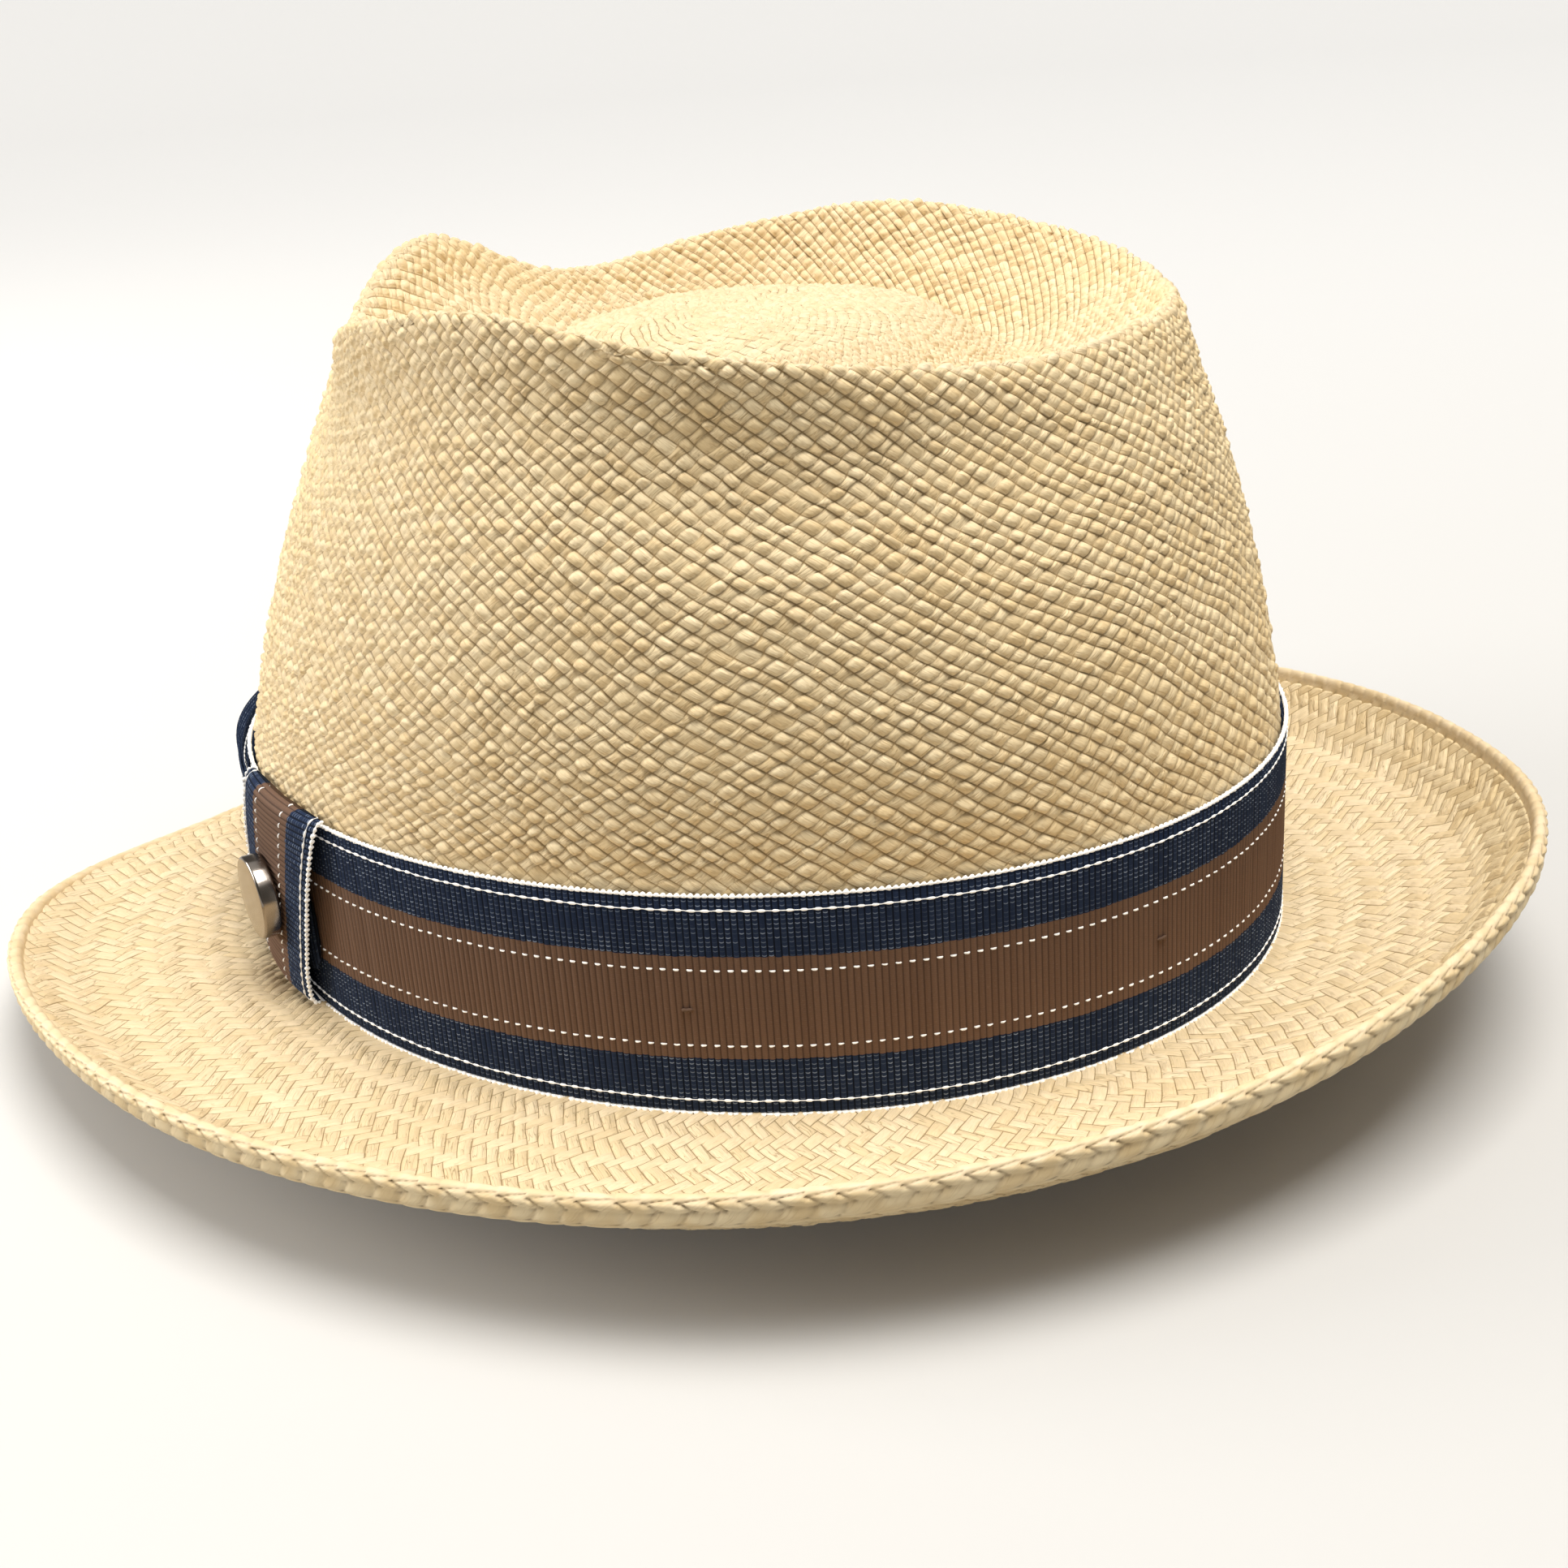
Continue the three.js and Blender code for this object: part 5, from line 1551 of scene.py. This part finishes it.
def rear_wrap():
    """A short fat cushion round the bow's middle, closed by rows that shrink to each end."""
    sides = 64
    turn = (np.arange(sides) / sides * 2 * np.pi)[None]
    y = np.linspace(-2.5, 2.5, 16)[:, None]
    swell = 1.15 * (1.05 + 0.12 * np.cos(y * 0.8))
    out = REAR_OUT - 1.2 - swell * np.sin(turn) + 0.02 * np.sin(turn * 9)
    z = REAR_Z + 2.75 * np.cos(turn) * (1 - 0.06 * np.abs(y))
    body = on_wall(180 + y / REAR_RATE, out, z)
    shrink = np.array([0.995, 0.7, 0.3])[:, None, None]
    ends = []
    for row, share in ((body[0], shrink), (body[-1], shrink[::-1])):
        ends.append(row[None] * (1 - share) + row.mean(0) * share)
    points = np.concatenate([ends[0], body, ends[1]])
    uv = uv_grid(np.arange(len(points)) * 0.3, np.arange(sides + 1) * 0.25)[..., ::-1]
    ob = grid_mesh("rear_bow_wrap", points, REAR_MATERIAL, uv=uv)
    declare(ob, "sweatband_bow_knot")


rear_loop("rear_bow_left", "sweatband_bow_left", -REAR_INNER, -REAR_TIP)
rear_loop("rear_bow_right", "sweatband_bow_right", REAR_INNER, REAR_TIP)
rear_wrap()


# ------------------------------------------------------------------ label and tacks
def label():
    """A slightly curled slip inside, above the sweatband, right of the middle of the back."""
    mm_from, mm_to = 20, 34
    low, high = SWEAT_H + 0.6, BAND_TOP - 0.5
    mm, z = np.linspace(mm_from, mm_to, 40), np.linspace(low, high, 16)
    wave = np.sin((mm[:, None] - mm_from) / (mm_to - mm_from) * math.pi * 2)
    curl = 0.12 * wave * (z[None] - low) / (high - low)
    out = -(STRAW + 0.5)
    phi = 180 + mm[:, None] / REAR_RATE
    points = np.concatenate([
        on_wall(phi, out + curl * 0.2 - 0.02, z),
        on_wall(phi, out - 0.40 + curl, z[::-1]),
    ], 1)
    uv = uv_grid(mm, np.concatenate([z, z[::-1], [low]]))
    declare(grid_mesh("size_label_cloth", points, label_material(), uv=uv), "size_label")


TACK_Z, TACK_HALF = 19.0, 0.98
TACK_PHIS = [112.5, 160, 208, 255, 303, 350]


def tacks():
    """Short brown stitches over the hatband."""
    mat = speckled_material("brown_thread", rough=0.75, spec=0.3, scale=2400.0, detail=2.0,
                            relief=0.5, colours=((0.070, 0.036, 0.020, 1), (0.150, 0.088, 0.056, 1)))
    sections, sides = 17, 8
    t = np.linspace(-1, 1, sections)[:, None]
    turn = (np.arange(sides) / sides * 2 * np.pi)[None]
    # two plies that twist along the stitch
    plies = 1 + 0.14 * np.cos(2 * (turn + t * 3.4))
    r = 0.30 * np.sqrt(np.clip(1 - np.abs(t) ** 5, 0.02, 1)) * plies
    out = 1.20 + 0.20 * (1 - np.abs(t) ** 3) + 0.85 * r * np.cos(turn)
    z = TACK_Z + 0.05 * t + r * np.sin(turn)
    for k, phi in enumerate(TACK_PHIS, 1):
        points = on_wall(phi + TACK_HALF * t / mm_per_degree(phi), out, z)
        declare(grid_mesh("tack_%d" % k, points, mat), "tack_stitch_%d" % k)


label()
tacks()

# ------------------------------------------------------------------ stage, in metres
WORLD_LIGHT, BACKDROP_LIGHT = 0.73, 0.68
LIGHT_COLOUR = (1.0, 0.985, 0.955)
STAGE_COLOUR, STAGE_BOUNCE = (0.535, 0.525, 0.510), (0.45, 0.44, 0.42, 1)
LAMPS = [
    dict(name="top", place=(0.09, 0.27, 1.22), target=(0.0, 0.0, 0.05), size=0.7, size_y=0.7,
         watts=19.5),
    dict(name="window", place=(0.55, -1.15, 0.45), target=(0.0, 0.0, 0.06), size=0.8, size_y=0.5,
         watts=13.0),
]


def stage_material():
    k = Material("stage", rough=0.9, spec=0.1)
    mottle = k.noise(k.place(), scale=3.0, detail=2.0, rough=0.5)
    seen = k.node("LightPath").outputs["Is Camera Ray"]
    paler = tuple(c * 1.012 for c in STAGE_COLOUR)
    shown = k.mix(mottle, STAGE_COLOUR + (1,), paler + (1,))
    # the floor throws back less light than it shows, as if flags stood round the hat
    k.base(k.mix(seen, STAGE_BOUNCE, shown))
    # the far backdrop has its own light, which takes over where the top lamp falls off
    lamp_x, lamp_y, lamp_z = LAMPS[0]["place"]
    x, y = k.split(k.place())
    dx, dy = k.sub(x, lamp_x), k.sub(y, lamp_y)
    distance = k.add(k.mul(dx, by=dx), k.mul(dy, by=dy))
    spread = k.add(1.0, k.div(distance, by=lamp_z**2))
    far = k.sub(1.0, k.div(1.0, by=k.mul(spread, by=spread)))
    k.set("Emission Color", LIGHT_COLOUR + (1,))
    k.set("Emission Strength", k.mul(far, by=k.mul(seen, by=BACKDROP_LIGHT)))
    return k.material


def cyclorama():
    """A round floor that curves up into a backdrop, wide enough for every view."""
    floor_r, curve_r, sides = 4.2, 2.0, 72
    angles = np.arange(sides) / sides * 2 * np.pi
    rows = [(0.6, 0.0), (1.5, 0.0), (3.0, 0.0), (floor_r, 0.0)]  # (radius, height)
    for degrees in np.linspace(0, 90, 13)[1:]:
        a = math.radians(degrees)
        rows.append((floor_r + curve_r * math.sin(a), curve_r - curve_r * math.cos(a)))
    rows += [(floor_r + curve_r, 4.0), (floor_r + curve_r, 7.0)]
    points = [(0.0, 0.0, 0.0)]
    for r, z in rows:
        points += [(r * math.cos(a), r * math.sin(a), z) for a in angles]
    faces = [(0, 1 + i, 1 + (i + 1) % sides) for i in range(sides)]
    for k in range(len(rows) - 1):
        b0, b1 = 1 + k * sides, 1 + (k + 1) * sides
        for i in range(sides):
            j = (i + 1) % sides
            faces.append((b0 + i, b1 + i, b1 + j, b0 + j))
    mesh = bpy.data.meshes.new("backdrop")
    mesh.from_pydata(points, [], faces)
    mesh.polygons.foreach_set("use_smooth", [True] * len(faces))
    mesh.materials.append(stage_material())
    ob = bpy.data.objects.new("backdrop", mesh)
    bpy.context.scene.collection.objects.link(ob)


def lamp(name, place, target, size, size_y, watts):
    light = bpy.data.lights.new(name, "AREA")
    light.energy, light.color = watts, LIGHT_COLOUR
    light.shape, light.size, light.size_y = "RECTANGLE", size, size_y
    ob = bpy.data.objects.new(name, light)
    ob.location = place
    ob.rotation_euler = (Vector(place) - Vector(target)).to_track_quat("Z", "Y").to_euler()
    bpy.context.scene.collection.objects.link(ob)


cyclorama()
scene = bpy.context.scene
world = bpy.data.worlds.new("studio")
scene.world = world
world.use_nodes = True
background = world.node_tree.nodes["Background"]
background.inputs[0].default_value = LIGHT_COLOUR + (1,)
background.inputs[1].default_value = WORLD_LIGHT
for sizes in LAMPS:
    lamp(**sizes)
scene.view_settings.view_transform = "Standard"
scene.view_settings.look = "None"
scene.view_settings.exposure = 0.0
scene.view_settings.gamma = 1.0

# ------------------------------------------------------------------ camera
# Distance and aim in mm about the hat's zero, before the turn; angles in degrees.
CAMERA_DISTANCE, AIM_X, AIM_Z = 375.898, 4.969, 18.347
ELEVATION, ROLL, YAW = 22.5351, -4.0147, -30.3005
LENS, SENSOR = 43.111118, 36.0


def camera():
    rise, roll = math.radians(ELEVATION), math.radians(ROLL)
    forward, right = Vector((0, math.cos(rise), -math.sin(rise))), Vector((1, 0, 0))
    up = right.cross(forward)
    x_axis = math.cos(roll) * right + math.sin(roll) * up
    y_axis = -math.sin(roll) * right + math.cos(roll) * up
    turn = Matrix.Rotation(math.radians(90 - YAW), 3, "Z")
    basis = Matrix((turn @ x_axis, turn @ y_axis, -(turn @ forward))).transposed().to_4x4()
    place = turn @ Vector((
        AIM_X, -CAMERA_DISTANCE * math.cos(rise), AIM_Z + CAMERA_DISTANCE * math.sin(rise),
    ))
    cam = bpy.data.cameras.new("camera")
    cam.sensor_width, cam.lens = SENSOR, LENS
    cam.clip_start, cam.clip_end = 0.01, 50.0
    ob = bpy.data.objects.new("camera", cam)
    ob.matrix_world = Matrix.Translation((place + Vector(DATUM.tolist())) * MM) @ basis
    scene.collection.objects.link(ob)
    scene.camera = ob


camera()
